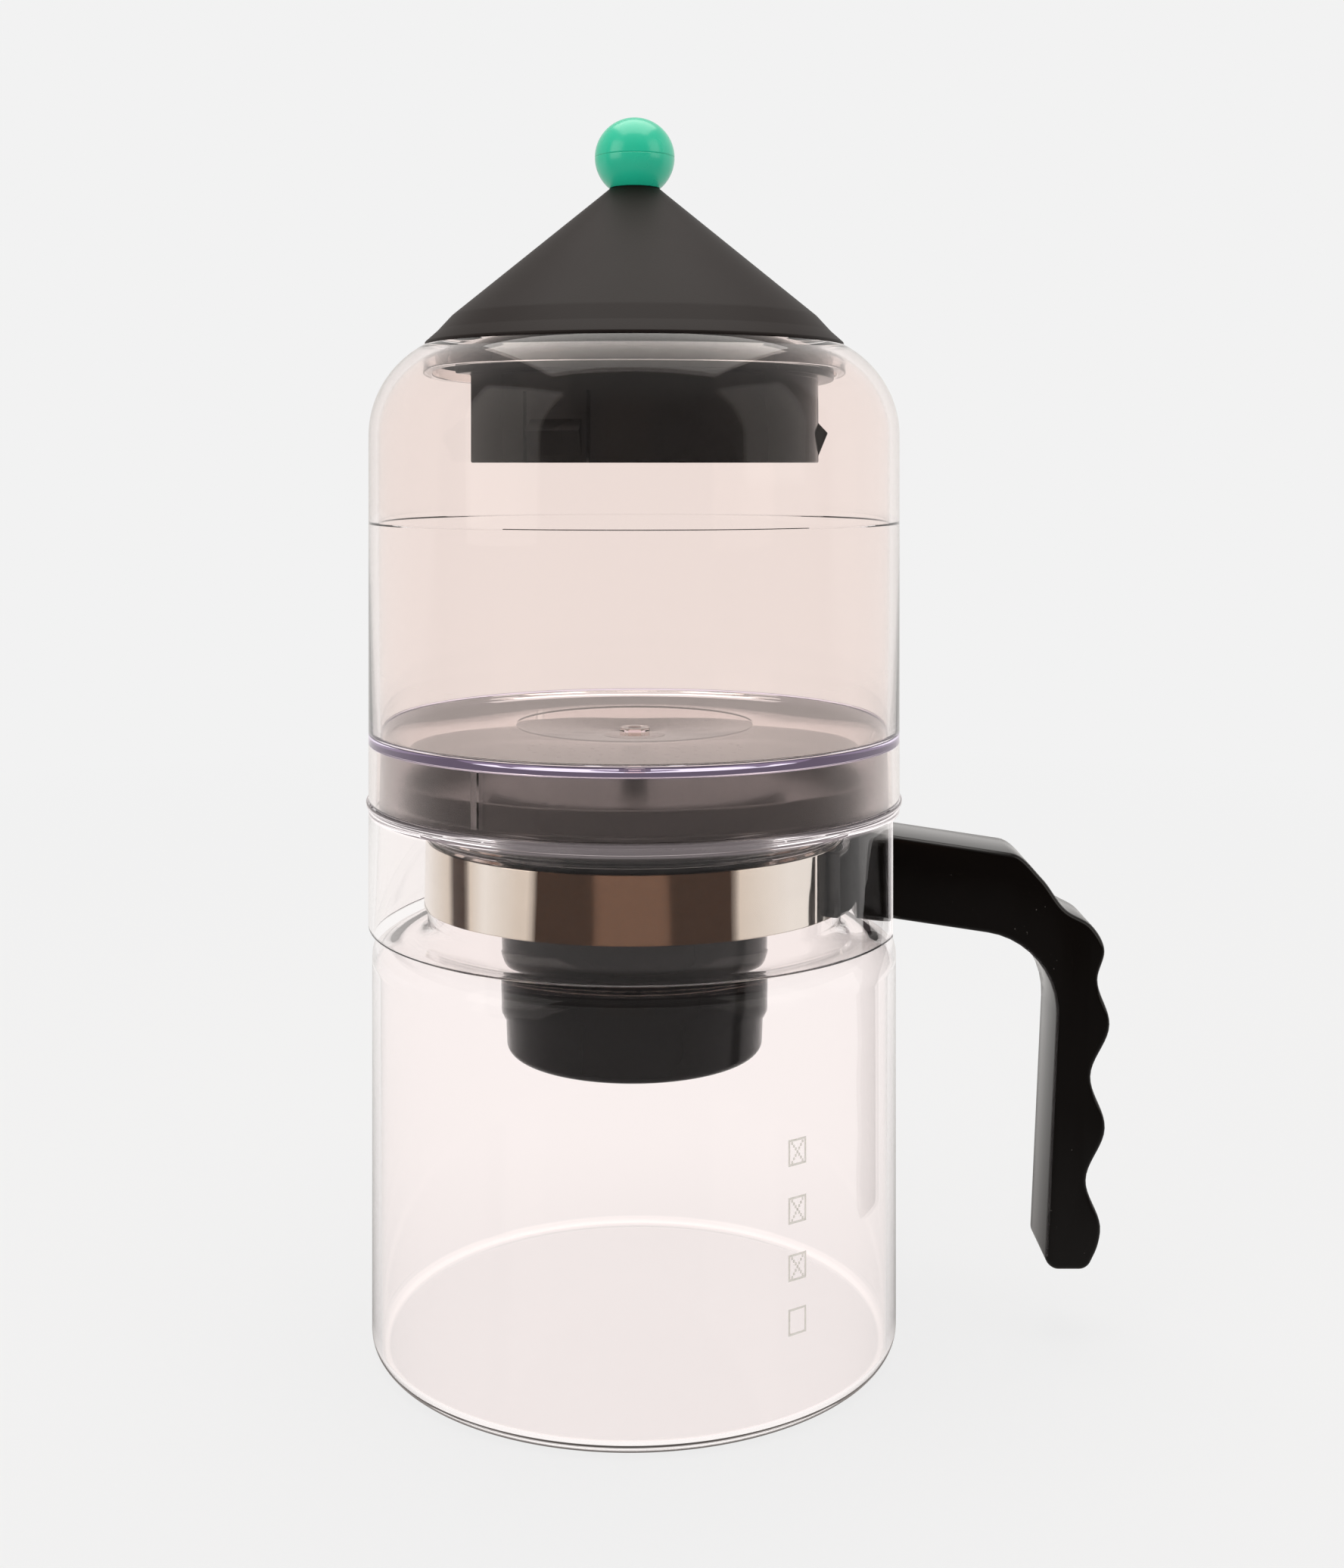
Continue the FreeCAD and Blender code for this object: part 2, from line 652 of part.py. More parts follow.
def lid_cone():
    slope = (CONE_TOP_TALL - CONE_SHOULDER_TALL) / (CONE_SHOULDER_R - CONE_TOP_R)
    drop = CONE_WALL * math.hypot(1, slope)
    spigot = SPIGOT_R + SEAT

    def inner_z(r):
        return MOUTH_Z + CONE_SHOULDER_TALL + slope * (CONE_SHOULDER_R - r) - drop

    cap_r = CONE_SHOULDER_R - (CONE_CAP_Z - inner_z(CONE_SHOULDER_R)) / slope
    steps = [
        line(CONE_RIM_R, MOUTH_Z + CONE_RIM_TALL),
        line(CONE_FLARE_R, MOUTH_Z + CONE_FLARE_TALL),
        line(CONE_SHOULDER_R, MOUTH_Z + CONE_SHOULDER_TALL),
        line(CONE_TOP_R, MOUTH_Z + CONE_TOP_TALL),
        line(CONE_FLAT_R, CONE_TOP_Z),
        line(STUD_R + SEAT, CONE_TOP_Z),
        line(STUD_R + SEAT, CONE_CAP_Z),
        line(cap_r, CONE_CAP_Z),
        line(spigot - CONE_WALL, inner_z(spigot - CONE_WALL)),
        line(spigot - CONE_WALL, MOUTH_Z + SPIGOT_TALL - FLANGE_HIGH + SEAT),
        line(spigot, MOUTH_Z + SPIGOT_TALL - FLANGE_HIGH + SEAT),
        line(spigot, MOUTH_Z),
    ]
    return turned(rz(CONE_RIM_R, MOUTH_Z), steps)


def lid_collar():
    """Spigot in the cone, flange in the mouth, and a skirt with three snap tongues."""
    low = COLLAR_LOW
    flange_low = MOUTH_Z - FLANGE_LOW
    flange_high = MOUTH_Z - FLANGE_HIGH
    inner = COLLAR_R - COLLAR_WALL
    spigot_top = flange_high + SPIGOT_TALL
    body = ring(inner, COLLAR_R, low, flange_high)
    body = body.fuse(ring(inner, FLANGE_R, flange_low, flange_high))
    for bearing in LUG_ANGLES:
        body = body.fuse(snap_lug(bearing))
    for bearing in LUG_ANGLES:
        for side in (-1, 1):
            slit = radial_bar(SLIT_WIDE, low - PAST, low + SLIT_TALL, bearing + side * TONGUE_HALF)
            body = body.cut(slit)
    body = body.cut(sector(REACH, low - PAST, flange_high, 180, POUR_HALF))
    body = body.fuse(ring(inner, SPIGOT_R, flange_high, spigot_top))
    return body.removeSplitter()


def snap_lug(bearing):
    """A wedge that stands out of the collar's skirt."""
    low = COLLAR_LOW + LUG_UP
    root = COLLAR_R - COLLAR_WALL / 2
    wedge = turned(rz(root, low), [
        line(COLLAR_R, low),
        line(COLLAR_R + LUG_OUT, low + LUG_TIP),
        line(COLLAR_R, low + LUG_TALL),
        line(root, low + LUG_TALL),
    ])
    return wedge.common(sector(REACH, low - PAST, low + LUG_TALL + PAST, bearing, LUG_HALF))


def knob_lower():
    ball = Part.makeSphere(BALL_R, Vector(0, 0, BALL_Z))
    ball = ball.common(disc(REACH, CONE_TOP_Z, BALL_Z))
    return ball.cut(disc(STUD_R + SEAT, CONE_TOP_Z - PAST, CONE_TOP_Z + STUD_IN_BALL + SEAT))


def knob_upper():
    ball = Part.makeSphere(BALL_R, Vector(0, 0, BALL_Z))
    ball = ball.cut(Part.makeSphere(BALL_R - BALL_WALL, Vector(0, 0, BALL_Z)))
    return ball.common(disc(REACH, BALL_Z, BALL_Z + BALL_R + PAST))


def knob_stud():
    return disc(STUD_R, NUT_LOW - STUD_PAST_NUT, CONE_TOP_Z + STUD_IN_BALL)


def knob_washer():
    return ring(STUD_R + SEAT, WASHER_R, WASHER_LOW, CONE_CAP_Z)


def knob_nut():
    nut = hexagon(NUT_FLATS, NUT_TALL)
    nut.translate(Vector(0, 0, NUT_LOW))
    return nut.cut(disc(STUD_R + SEAT, NUT_LOW - PAST, WASHER_LOW + PAST))


PIECES = [
    jug_base, jug_wall, jug_neck,
    neck_band, handle_saddle, handle, clamp_screw, clamp_insert,
    carrier_ring, locating_sleeve,
    basket_pan, basket_cup, filter_mesh, water_spreader,
    tank_floor, drip_nozzle, tank_barrel, tank_dome,
    lid_cone, lid_collar,
    knob_lower, knob_upper, knob_stud, knob_washer, knob_nut,
]


def main():
    os.makedirs("parts", exist_ok=True)
    for piece in PIECES:
        shape = piece()
        solids = shape.Solids
        if len(solids) == 1:
            shape = solids[0]
        shape.exportStep("parts/" + piece.__name__ + ".step")
        box = shape.optimalBoundingBox(False)
        print(f"{piece.__name__:16s} solids {len(solids)} valid {shape.isValid()}"
              f" volume {shape.Volume:9.1f} z {box.ZMin:7.2f} {box.ZMax:7.2f}"
              f" x {box.XMin:7.2f} {box.XMax:7.2f}")


main()
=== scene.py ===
"""A cold drip coffee tower: glass jug, clear carrier and tank, black basket, cone lid and green ball."""

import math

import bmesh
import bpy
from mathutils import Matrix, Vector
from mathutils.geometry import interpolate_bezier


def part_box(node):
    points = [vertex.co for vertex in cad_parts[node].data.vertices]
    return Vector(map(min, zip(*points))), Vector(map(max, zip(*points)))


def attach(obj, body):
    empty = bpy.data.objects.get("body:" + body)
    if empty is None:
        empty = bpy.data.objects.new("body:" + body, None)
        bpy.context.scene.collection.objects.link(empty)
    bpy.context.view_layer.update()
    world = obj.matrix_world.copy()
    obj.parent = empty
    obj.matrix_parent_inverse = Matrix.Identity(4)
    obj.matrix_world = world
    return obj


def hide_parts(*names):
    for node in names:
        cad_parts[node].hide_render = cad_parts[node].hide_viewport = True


bl_info = {
    "name": "Cold Drip Coffee Tower",
    "version": (1, 0, 0),
    "blender": (4, 5, 0),
    "location": "View3D > Sidebar > Tower",
    "description": "Dresses the coffee tower's frame with glass, clear plastic, steel and black plastic",
    "category": "Object",
}

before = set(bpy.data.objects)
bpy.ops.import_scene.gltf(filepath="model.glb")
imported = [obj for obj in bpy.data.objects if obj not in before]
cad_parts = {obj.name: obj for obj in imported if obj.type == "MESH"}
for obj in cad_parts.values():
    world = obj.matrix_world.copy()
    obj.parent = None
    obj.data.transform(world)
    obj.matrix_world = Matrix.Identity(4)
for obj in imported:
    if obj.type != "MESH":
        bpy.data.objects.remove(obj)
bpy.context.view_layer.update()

MM = 0.001
AROUND = 240           # faces round a full turn
SEAM_GAP = 0.02 * MM   # air left between clear pieces that are bonded


def reach(node):
    """How far a turned node stands from the tower's axis."""
    low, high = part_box(node)
    return max(-low.x, -low.y, high.y)


def low_of(node):
    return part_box(node)[0].z


def top_of(node):
    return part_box(node)[1].z


# Places that come from the frame
JUG_R = reach("jug_wall")
BODY_TOP = top_of("jug_wall")
RIM_Z = top_of("jug_neck")
BAND_R = reach("neck_band")
BAND_LOW = low_of("neck_band")
BAND_TOP = top_of("neck_band")
TOWER_R = reach("tank_barrel")
SHELF_TOP = top_of("carrier_ring")
SKIRT_Z = low_of("carrier_ring")
FLOOR_TOP = top_of("tank_floor")
BARREL_TOP = top_of("tank_barrel")
MOUTH_Z = top_of("tank_dome")
CONE_TOP_Z = top_of("lid_cone")
BALL_Z = low_of("knob_upper")
BALL_R = reach("knob_upper")


class TowerSizes(bpy.types.PropertyGroup):
    """Walls and roundings that a user would change, in metres."""

    glass_wall: bpy.props.FloatProperty(
        name="Glass wall", description="Thickness of the jug's glass", default=2.0 * MM, unit="LENGTH")
    clear_wall: bpy.props.FloatProperty(
        name="Clear wall", description="Thickness of the carrier and the tank",
        default=2.2 * MM, unit="LENGTH")
    black_wall: bpy.props.FloatProperty(
        name="Black wall", description="Thickness of the basket and the collar",
        default=1.6 * MM, unit="LENGTH")
    edge: bpy.props.FloatProperty(
        name="Edge", description="Rounding on moulded edges", default=0.3 * MM, unit="LENGTH")
    band_thick: bpy.props.FloatProperty(
        name="Band", description="Thickness of the steel band", default=0.8 * MM, unit="LENGTH")
    handle_thick: bpy.props.FloatProperty(
        name="Handle", description="Width of the handle", default=19.6 * MM, unit="LENGTH")
    handle_edge: bpy.props.FloatProperty(
        name="Handle edge", description="Rounding of the handle's edges", default=1.2 * MM, unit="LENGTH")


class TowerColours(bpy.types.PropertyGroup):
    """Base colours of the finishes, linear."""

    glass: bpy.props.FloatVectorProperty(
        name="Glass", description="Tint of the jug's glass", subtype="COLOR", default=(0.985, 0.946, 0.938))
    clear: bpy.props.FloatVectorProperty(
        name="Clear plastic", description="Tint of the carrier", subtype="COLOR",
        default=(0.975, 0.945, 0.935))
    tank: bpy.props.FloatVectorProperty(
        name="Tank", description="Tint of the water tank", subtype="COLOR", default=(0.922, 0.852, 0.824))
    floor_edge: bpy.props.FloatVectorProperty(
        name="Floor edge", description="Tint of the tank floor towards its edge", subtype="COLOR",
        default=(0.80, 0.74, 0.86))
    # The three glows below are painted light: emission on the clear edges, standing in for light that the
    # sheets carry to them.
    floor_painted_glow: bpy.props.FloatVectorProperty(
        name="Floor glow", description="Light that leaves the tank floor's rim", subtype="COLOR",
        default=(0.13, 0.10, 0.145))
    shelf_painted_glow: bpy.props.FloatVectorProperty(
        name="Shelf glow", description="Light that leaves the shelf's rim", subtype="COLOR",
        default=(0.14, 0.12, 0.125))
    foot_painted_glow: bpy.props.FloatVectorProperty(
        name="Foot glow", description="Light that leaves the round of the jug's foot", subtype="COLOR",
        default=(0.10, 0.09, 0.085))
    frost: bpy.props.FloatVectorProperty(
        name="Frost", description="Colour of the frosted sleeve", subtype="COLOR",
        default=(0.92, 0.88, 0.89))
    steel: bpy.props.FloatVectorProperty(
        name="Steel", description="Colour of the polished band", subtype="COLOR",
        default=(0.86, 0.82, 0.76))
    # Painted reflection: the dark studio panels that the polished band mirrors, painted into its colour.
    steel_reflection_dark: bpy.props.FloatVectorProperty(
        name="Steel, dark", description="Dark panels round the polished band", subtype="COLOR",
        default=(0.05, 0.028, 0.018))
    black: bpy.props.FloatVectorProperty(
        name="Gloss black", description="Colour of the handle, basket and collar", subtype="COLOR",
        default=(0.0030, 0.0024, 0.0021))
    cone: bpy.props.FloatVectorProperty(
        name="Matte black", description="Colour of the cone", subtype="COLOR",
        default=(0.0120, 0.0082, 0.0074))
    ball: bpy.props.FloatVectorProperty(
        name="Green", description="Colour of the ball knob", subtype="COLOR", default=(0.020, 0.62, 0.38))
    backdrop: bpy.props.FloatVectorProperty(
        name="Backdrop", description="Colour of the floor and backdrop", subtype="COLOR",
        default=(0.888, 0.888, 0.888))


OUTWARD_STEEP = 2500.0   # how quickly a mask rises, per metre
UPWARD_STEEP = 2000.0
AROUND_STEEP = 200.0     # and per radian
NO_GLOW = (0, 0, 0)
CLEAR_SHINE = (0.3, 0.3, 0.3, 1.0)   # keeps what stands inside clear pieces deep and dark
HANDLE_SHINE = 0.32
BASKET_SHINE = 0.11
COLLAR_SHINE = 0.07


class Wire:
    """A shader socket that takes part in arithmetic."""

    def __init__(self, finish, socket):
        self.finish = finish
        self.socket = socket

    def __add__(self, other):
        return self.finish.maths("ADD", self, other)

    def __sub__(self, other):
        return self.finish.maths("SUBTRACT", self, other)

    def __mul__(self, other):
        return self.finish.maths("MULTIPLY", self, other)

    def __radd__(self, other):
        return self.finish.maths("ADD", other, self)

    def __rsub__(self, other):
        return self.finish.maths("SUBTRACT", other, self)

    def __rmul__(self, other):
        return self.finish.maths("MULTIPLY", other, self)


class Finish:
    """Builds one node tree: a material's, or the world's."""

    def __init__(self, owner):
        owner.use_nodes = True
        self.owner = owner
        self.tree = owner.node_tree
        self.tree.nodes.clear()

    def node(self, kind, settings=None, sockets=None, out=0):
        """One node with its settings, then its sockets' values or links."""
        made = self.tree.nodes.new(kind)
        for name, value in (settings or {}).items():
            if name == "stops":
                self.set_stops(made.color_ramp, value)
            else:
                setattr(made, name, value)
        for name, value in (sockets or {}).items():
            if isinstance(value, Wire):
                self.tree.links.new(value.socket, made.inputs[name])
            else:
                made.inputs[name].default_value = value
        if len(made.outputs) == 0:
            return made
        return Wire(self, made.outputs[out])

    @staticmethod
    def set_stops(ramp, stops):
        while len(ramp.elements) < len(stops):
            ramp.elements.new(0.5)
        for element, (position, grey) in zip(ramp.elements, stops):
            element.position = position
            element.color = (grey, grey, grey, 1) if isinstance(grey, float) else (*grey, 1)

    def maths(self, operation, first, second):
        return self.node("ShaderNodeMath", {"operation": operation}, {0: first, 1: second})

    def place(self):
        return self.node("ShaderNodeTexCoord", out="Object")

    def several(self, kind, names, sockets=None):
        """One node of which several outputs are used."""
        made = self.node(kind, sockets=sockets).socket.node
        return [Wire(self, made.outputs[name]) for name in names]

    def axes(self):
        return self.several("ShaderNodeSeparateXYZ", "XYZ", {0: self.place()})

    def bearing(self, east, north):
        """The turn about the axis as a share, 0.5 at the front."""
        return self.maths("ARCTAN2", east, 0.0 - north) * (0.5 / math.pi) + 0.5

    def radius(self):
        """Distance from the tower's axis."""
        flat = self.node("ShaderNodeVectorMath", {"operation": "MULTIPLY"}, {
            0: self.place(), 1: (1, 1, 0)})
        return self.node("ShaderNodeVectorMath", {"operation": "LENGTH"}, {0: flat}, out="Value")

    def rim(self, radius, low, high):
        """A mask: 1 beyond a radius and between two heights, with soft ends."""
        height = self.axes()[2]
        out = self.grade((self.radius() - radius) * OUTWARD_STEEP)
        over = self.grade((height - low) * UPWARD_STEEP + 0.5)
        under = self.grade((high - height) * UPWARD_STEEP + 0.5)
        return out * over * under

    def side(self, bearing, high):
        """A mask: 1 on the two planes at a bearing either side of +X, below a height."""
        east, north, height = self.axes()
        turn = self.maths("ABSOLUTE", self.maths("ARCTAN2", north, east), 0.0)
        off = self.maths("ABSOLUTE", turn - math.radians(bearing), 0.0)
        near = self.grade(1.5 - off * AROUND_STEEP)
        under = self.grade((high - height) * UPWARD_STEEP + 0.5)
        return near * under

    def noise(self, scale, detail=2.0, stretch=(1, 1, 1), rough=0.5):
        spot = self.node("ShaderNodeMapping", sockets={"Vector": self.place(), "Scale": stretch})
        return self.node("ShaderNodeTexNoise", sockets={
            "Vector": spot, "Scale": scale, "Detail": detail, "Roughness": rough})

    def ramp(self, value, *stops):
        return self.node("ShaderNodeValToRGB", {"stops": stops}, {"Fac": value})

    def grade(self, value):
        """The value kept between 0 and 1."""
        return self.ramp(value, (0.0, 0.0), (1.0, 1.0))

    def mix(self, share, first, second):
        """Colours, from the first at 0 to the second at 1."""
        return self.node("ShaderNodeMix", {"data_type": "RGBA"}, {
            0: share, 6: as_rgba(first), 7: as_rgba(second)}, out=2)

    def bump(self, height, strength, distance=0.1 * MM):
        return self.node("ShaderNodeBump", sockets={
            "Height": height, "Strength": strength, "Distance": distance})

    def surface(self, **sockets):
        """The one shader of a plain material, joined to the output."""
        names = {key: key.replace("_", " ") for key in sockets}
        shader = self.node("ShaderNodeBsdfPrincipled", sockets={
            names[key]: value for key, value in sockets.items()})
        self.node("ShaderNodeOutputMaterial", sockets={"Surface": shader})
        return self.owner


def as_rgba(colour):
    if isinstance(colour, Wire):
        return colour
    return (*colour, 1.0) if len(colour) == 3 else colour


def new_finish(name):
    return Finish(bpy.data.materials.new(name))


def see_through(paint, tint, glow, bend, normal):
    """Clear material that bends light, with a painted glow, as emission, on its edges."""
    return paint.surface(Base_Color=tint, Roughness=0.0, IOR=bend, Transmission_Weight=1.0,
                         Specular_Tint=CLEAR_SHINE, Emission_Color=glow, Emission_Strength=1.0,
                         Normal=normal)


def glass_finish(colours):
    """Blown glass: faintly uneven, with a breath of warmth."""
    paint = new_finish("jug_glass")
    wave = paint.noise(18.0, detail=1.0, stretch=(1, 1, 0.6))
    tint = paint.mix(wave, colours.glass, [c * 0.985 for c in colours.glass])
    # Painted glow: emission round the jug's foot, where its rounding meets the floor.
    glow = paint.mix(paint.rim(JUG_R - FOOT_ROUND, 0.0, 2.5 * MM), NO_GLOW, colours.foot_painted_glow)
    return see_through(paint, tint, glow, 1.47, paint.bump(wave, 0.05, 0.6 * MM))


def clear_finish(colours):
    """Polished clear moulding with faint flow lines; a painted glow, as emission, lights its rim and the
    notch's sides.
    """
    paint = new_finish("carrier_plastic")
    flow = paint.noise(60.0, detail=1.0, stretch=(1, 1, 0.05))
    tint = paint.mix(flow, colours.clear, [c * 0.975 for c in colours.clear])
    edges = paint.rim(TOWER_R - 1.0 * MM, RIM_Z, SHELF_TOP) + paint.side(NOTCH_HALF, RIM_Z)
    glow = paint.mix(edges, NO_GLOW, colours.shelf_painted_glow)
    return see_through(paint, tint, glow, 1.49, paint.bump(flow, 0.04, 0.4 * MM))


def tank_finish(colours):
    """The same moulding, with violet in the floor plate's rim, where one looks along the sheet, and a
    painted glow, as emission, on that rim.
    """
    paint = new_finish("tank_plastic")
    flow = paint.noise(60.0, detail=1.0, stretch=(1, 1, 0.05))
    tint = paint.mix(flow, colours.tank, [c * 0.975 for c in colours.tank])
    plate = paint.rim(TOWER_R - 3.0 * MM, FLOOR_TOP - 2.4 * MM, FLOOR_TOP)
    tint = paint.mix(plate, tint, colours.floor_edge)
    # Painted glow: emission on the floor plate's outer rim.
    rim = paint.rim(TOWER_R - 0.5 * MM, FLOOR_TOP - 2.2 * MM, FLOOR_TOP)
    glow = paint.mix(rim, NO_GLOW, colours.floor_painted_glow)
    return see_through(paint, tint, glow, 1.49, paint.bump(flow, 0.04, 0.4 * MM))


def frost_finish(colours):
    """A sandblasted face that spreads what lies behind it."""
    paint = new_finish("frosted_plastic")
    grain = paint.noise(2600.0, detail=3.0)
    cloud = paint.noise(55.0, detail=3.0)
    tint = paint.mix(cloud, colours.frost, [c * 0.93 for c in colours.frost])
    rough = 0.16 + cloud * 0.08
    return paint.surface(Base_Color=tint, Roughness=rough, IOR=1.3, Transmission_Weight=0.96,
                         Normal=paint.bump(grain, 0.25, 0.05 * MM))


def polished_finish(colours):
    """Mirror-polished strip whose base colour carries painted reflections, broad dark and pale panels round
    it, and hairlines along its length.
    """
    paint = new_finish("polished_steel")
    east, north, _ = paint.axes()
    bearing = paint.bearing(east, north)
    wave = paint.noise(25.0, detail=1.0)
    # Painted reflection: by bearing round the band, the ramp paints the pale and dark panels that the strip
    # would mirror into its base colour.
    steel, dark, mid_reflection = colours.steel, colours.steel_reflection_dark, [c * 3.2 for c in colours.steel_reflection_dark]
    warm = [c * f for c, f in zip(colours.steel, (0.80, 0.74, 0.68))]
    panels = paint.ramp(bearing + (wave - 0.5) * 0.012, *[(turn / 360 + 0.5, shade) for turn, shade in (
        (-180, steel), (-150, warm), (-128, mid_reflection), (-118, steel), (-95, warm), (-70, steel), (-55, warm),
        (-52, dark), (-47, dark), (-45, warm), (-40, steel), (-29, warm), (-26, warm), (-24, dark),
        (-10, dark), (-8, mid_reflection), (8, mid_reflection), (10, dark), (26, dark), (28, warm), (44, steel), (59, steel),
        (61, dark), (66, mid_reflection), (72, steel), (100, warm), (124, mid_reflection), (130, dark), (140, steel),
        (180, steel))])
    smear = paint.noise(35.0, detail=2.0)
    hair = paint.noise(700.0, detail=1.0, stretch=(0.02, 0.02, 1))
    return paint.surface(Base_Color=panels, Metallic=1.0, Roughness=0.05 + smear * 0.04,
                         Normal=paint.bump(hair, 0.05, 0.03 * MM))


def steel_finish():
    paint = new_finish("plain_steel")
    hair = paint.noise(900.0, detail=2.0, stretch=(1, 0.05, 1))
    tint = paint.mix(hair, (0.62, 0.60, 0.58), (0.50, 0.49, 0.47))
    return paint.surface(Base_Color=tint, Metallic=1.0, Roughness=0.24 + hair * 0.14,
                         Normal=paint.bump(hair, 0.15, 0.03 * MM))


def brass_finish():
    paint = new_finish("brass")
    turning = paint.noise(800.0, detail=2.0, stretch=(0.05, 1, 0.05))
    tint = paint.mix(turning, (0.72, 0.53, 0.25), (0.60, 0.42, 0.18))
    return paint.surface(Base_Color=tint, Metallic=1.0, Roughness=0.28 + turning * 0.1,
                         Normal=paint.bump(turning, 0.1, 0.03 * MM))


def black_finish(colours, name, shine):
    """Gloss moulding: soft orange peel, a little dust and a warm cast where it thins."""
    paint = new_finish(name)
    peel = paint.noise(240.0, detail=2.0)
    cloud = paint.noise(30.0, detail=3.0)
    dust = paint.ramp(paint.noise(1500.0, detail=1.0), (0.80, 0.0), (0.84, 1.0))
    tint = paint.mix(cloud, colours.black, [c * 1.6 for c in colours.black])
    tint = paint.mix(dust * 0.35, tint, (0.25, 0.22, 0.20))
    return paint.surface(Base_Color=tint, Roughness=0.10 + cloud * 0.07 + dust * 0.3,
                         IOR=1.5, Specular_IOR_Level=shine, Normal=paint.bump(peel, 0.05, 0.08 * MM))


def cone_finish(colours):
    """Fine spark-eroded texture, a shade paler where hands have polished it."""
    paint = new_finish("black_matte")
    grain = paint.noise(2200.0, detail=3.0)
    cloud = paint.noise(24.0, detail=4.0)
    tint = paint.mix(cloud, colours.cone, [c * 1.35 for c in colours.cone])
    return paint.surface(Base_Color=tint, Roughness=0.46 + cloud * 0.12, Specular_IOR_Level=0.17,
                         Normal=paint.bump(grain, 0.30, 0.05 * MM))


def ball_finish(colours):
    """Green moulding with a soft sheen and slow marbling in the colour."""
    paint = new_finish("green_gloss")
    cloud = paint.noise(90.0, detail=3.0)
    peel = paint.noise(420.0, detail=2.0)
    tint = paint.mix(cloud, colours.ball, [c * 0.86 for c in colours.ball])
    return paint.surface(Base_Color=tint, Roughness=0.24 + cloud * 0.08, Coat_Weight=0.25,
                         Normal=paint.bump(peel, 0.05, 0.06 * MM))


def mark_finish():
    """Fired enamel, thin enough to see through."""
    paint = new_finish("level_mark")
    grain = paint.noise(1400.0, detail=2.0)
    cover = paint.ramp(grain, (0.30, 0.40), (0.70, 0.65))
    return paint.surface(Base_Color=paint.mix(grain, (0.86, 0.83, 0.76), (0.78, 0.75, 0.68)),
                         Roughness=0.6, Alpha=cover)


# Meshes

CLOSE = 0.1 * MM      # how near counts as touching, when faces are picked
STRAIGHT = 179.0      # a corner flatter than this gets no rounding
ARC_STEP = 9.0        # degrees between the points of a rounding
FIT = 0.05 * MM       # air between pieces that are pushed together


def rounded(corners, closed=True):
    """Turn corners (r, z, rounding) into a profile whose corners are tangent arcs."""
    points = []
    count = len(corners)
    for index, (r, z, radius) in enumerate(corners):
        here = Vector((r, z))
        end = not closed and index in (0, count - 1)
        before = Vector(corners[index - 1][:2]) - here
        after = Vector(corners[(index + 1) % count][:2]) - here
        if end or radius <= 0 or before.angle(after) > math.radians(STRAIGHT):
            points.append(here)
            continue
        half = before.angle(after) / 2
        away = min(radius / math.tan(half), 0.49 * before.length, 0.49 * after.length)
        radius = away * math.tan(half)
        inward = (before.normalized() + after.normalized()).normalized()
        centre = here + inward * (radius / math.sin(half))
        start = here + before.normalized() * away - centre
        stop = here + after.normalized() * away - centre
        steps = max(2, math.ceil((math.pi - 2 * half) / math.radians(ARC_STEP)))
        for step in range(steps + 1):
            points.append(centre + radius * start.normalized().slerp(stop.normalized(), step / steps))
    return points


def turned(mesh, corners, start=0.0, sweep=360.0, closed=True):
    """Spin a profile about the tower's axis, and close the ends of a part turn."""
    whole = sweep > 359.99
    turn = Matrix.Rotation(math.radians(start), 4, "Z")
    profile = rounded(corners, closed)
    verts = [mesh.verts.new(turn @ Vector((p.x, 0, p.y))) for p in profile]
    pairs = list(zip(verts, verts[1:]))
    if closed:
        pairs.append((verts[-1], verts[0]))
    edges = [mesh.edges.new(pair) for pair in pairs]
    steps = max(2, round(AROUND * sweep / 360))
    bmesh.ops.spin(mesh, geom=verts + edges, cent=(0, 0, 0), axis=(0, 0, 1),
                   angle=math.radians(sweep), steps=steps, use_merge=whole)
    if min(point.x for point in profile) < 1e-9:
        bmesh.ops.remove_doubles(mesh, verts=mesh.verts, dist=1e-7)
    if not whole:
        rim = [edge for edge in mesh.edges if edge.is_boundary]
        bmesh.ops.holes_fill(mesh, edges=rim)
    return mesh


def block(mesh, low, high):
    """A straight box between two corners."""
    low, high = Vector(low), Vector(high)
    size = high - low
    place = Matrix.Translation((low + high) / 2) @ Matrix.Diagonal((*size, 1))
    bmesh.ops.create_cube(mesh, size=1, matrix=place)
    return mesh


def add_object(name, data):
    item = bpy.data.objects.new(name, data)
    bpy.context.scene.collection.objects.link(item)
    return item


def finish_piece(mesh, name, body, material, replaced=(), sharp=32):
    """Make the object, shade it smooth up to an angle, and tie it to the frame."""
    bmesh.ops.recalc_face_normals(mesh, faces=mesh.faces)
    data = bpy.data.meshes.new(name)
    mesh.to_mesh(data)
    mesh.free()
    data.shade_smooth()
    data.set_sharp_from_angle(angle=math.radians(sharp))
    data.materials.append(material)
    piece = add_object(name, data)
    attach(piece, body)
    if replaced:
        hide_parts(*replaced)
    return piece


def dress(node, material):
    """Give a frame node its finish."""
    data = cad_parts[node].data
    data.materials.clear()
    data.materials.append(material)


# Jug: glass and its level marks

SHOULDER_ROUND = 8.0 * MM
NECK_ROUND = 3.0 * MM
FOOT_ROUND = 4.0 * MM
BEAD_OUT = 0.9 * MM
BEAD_TALL = 4.0 * MM
MARK_HEIGHTS = (57.2 * MM, 45.5 * MM, 33.9 * MM, 22.9 * MM)
MARK_BEARING = 305.0
MARK_WIDE = 4.6 * MM
MARK_TALL = 5.4 * MM
MARK_THICK = 0.04 * MM
MARK_LINE = 0.45 * MM
MARK_ROWS = 7          # short bars, one above the other, that make up each slanting line
CROSSED_MARKS = 3      # the lowest mark is left open


def neck_radius(sizes):
    return BAND_R - sizes.band_thick


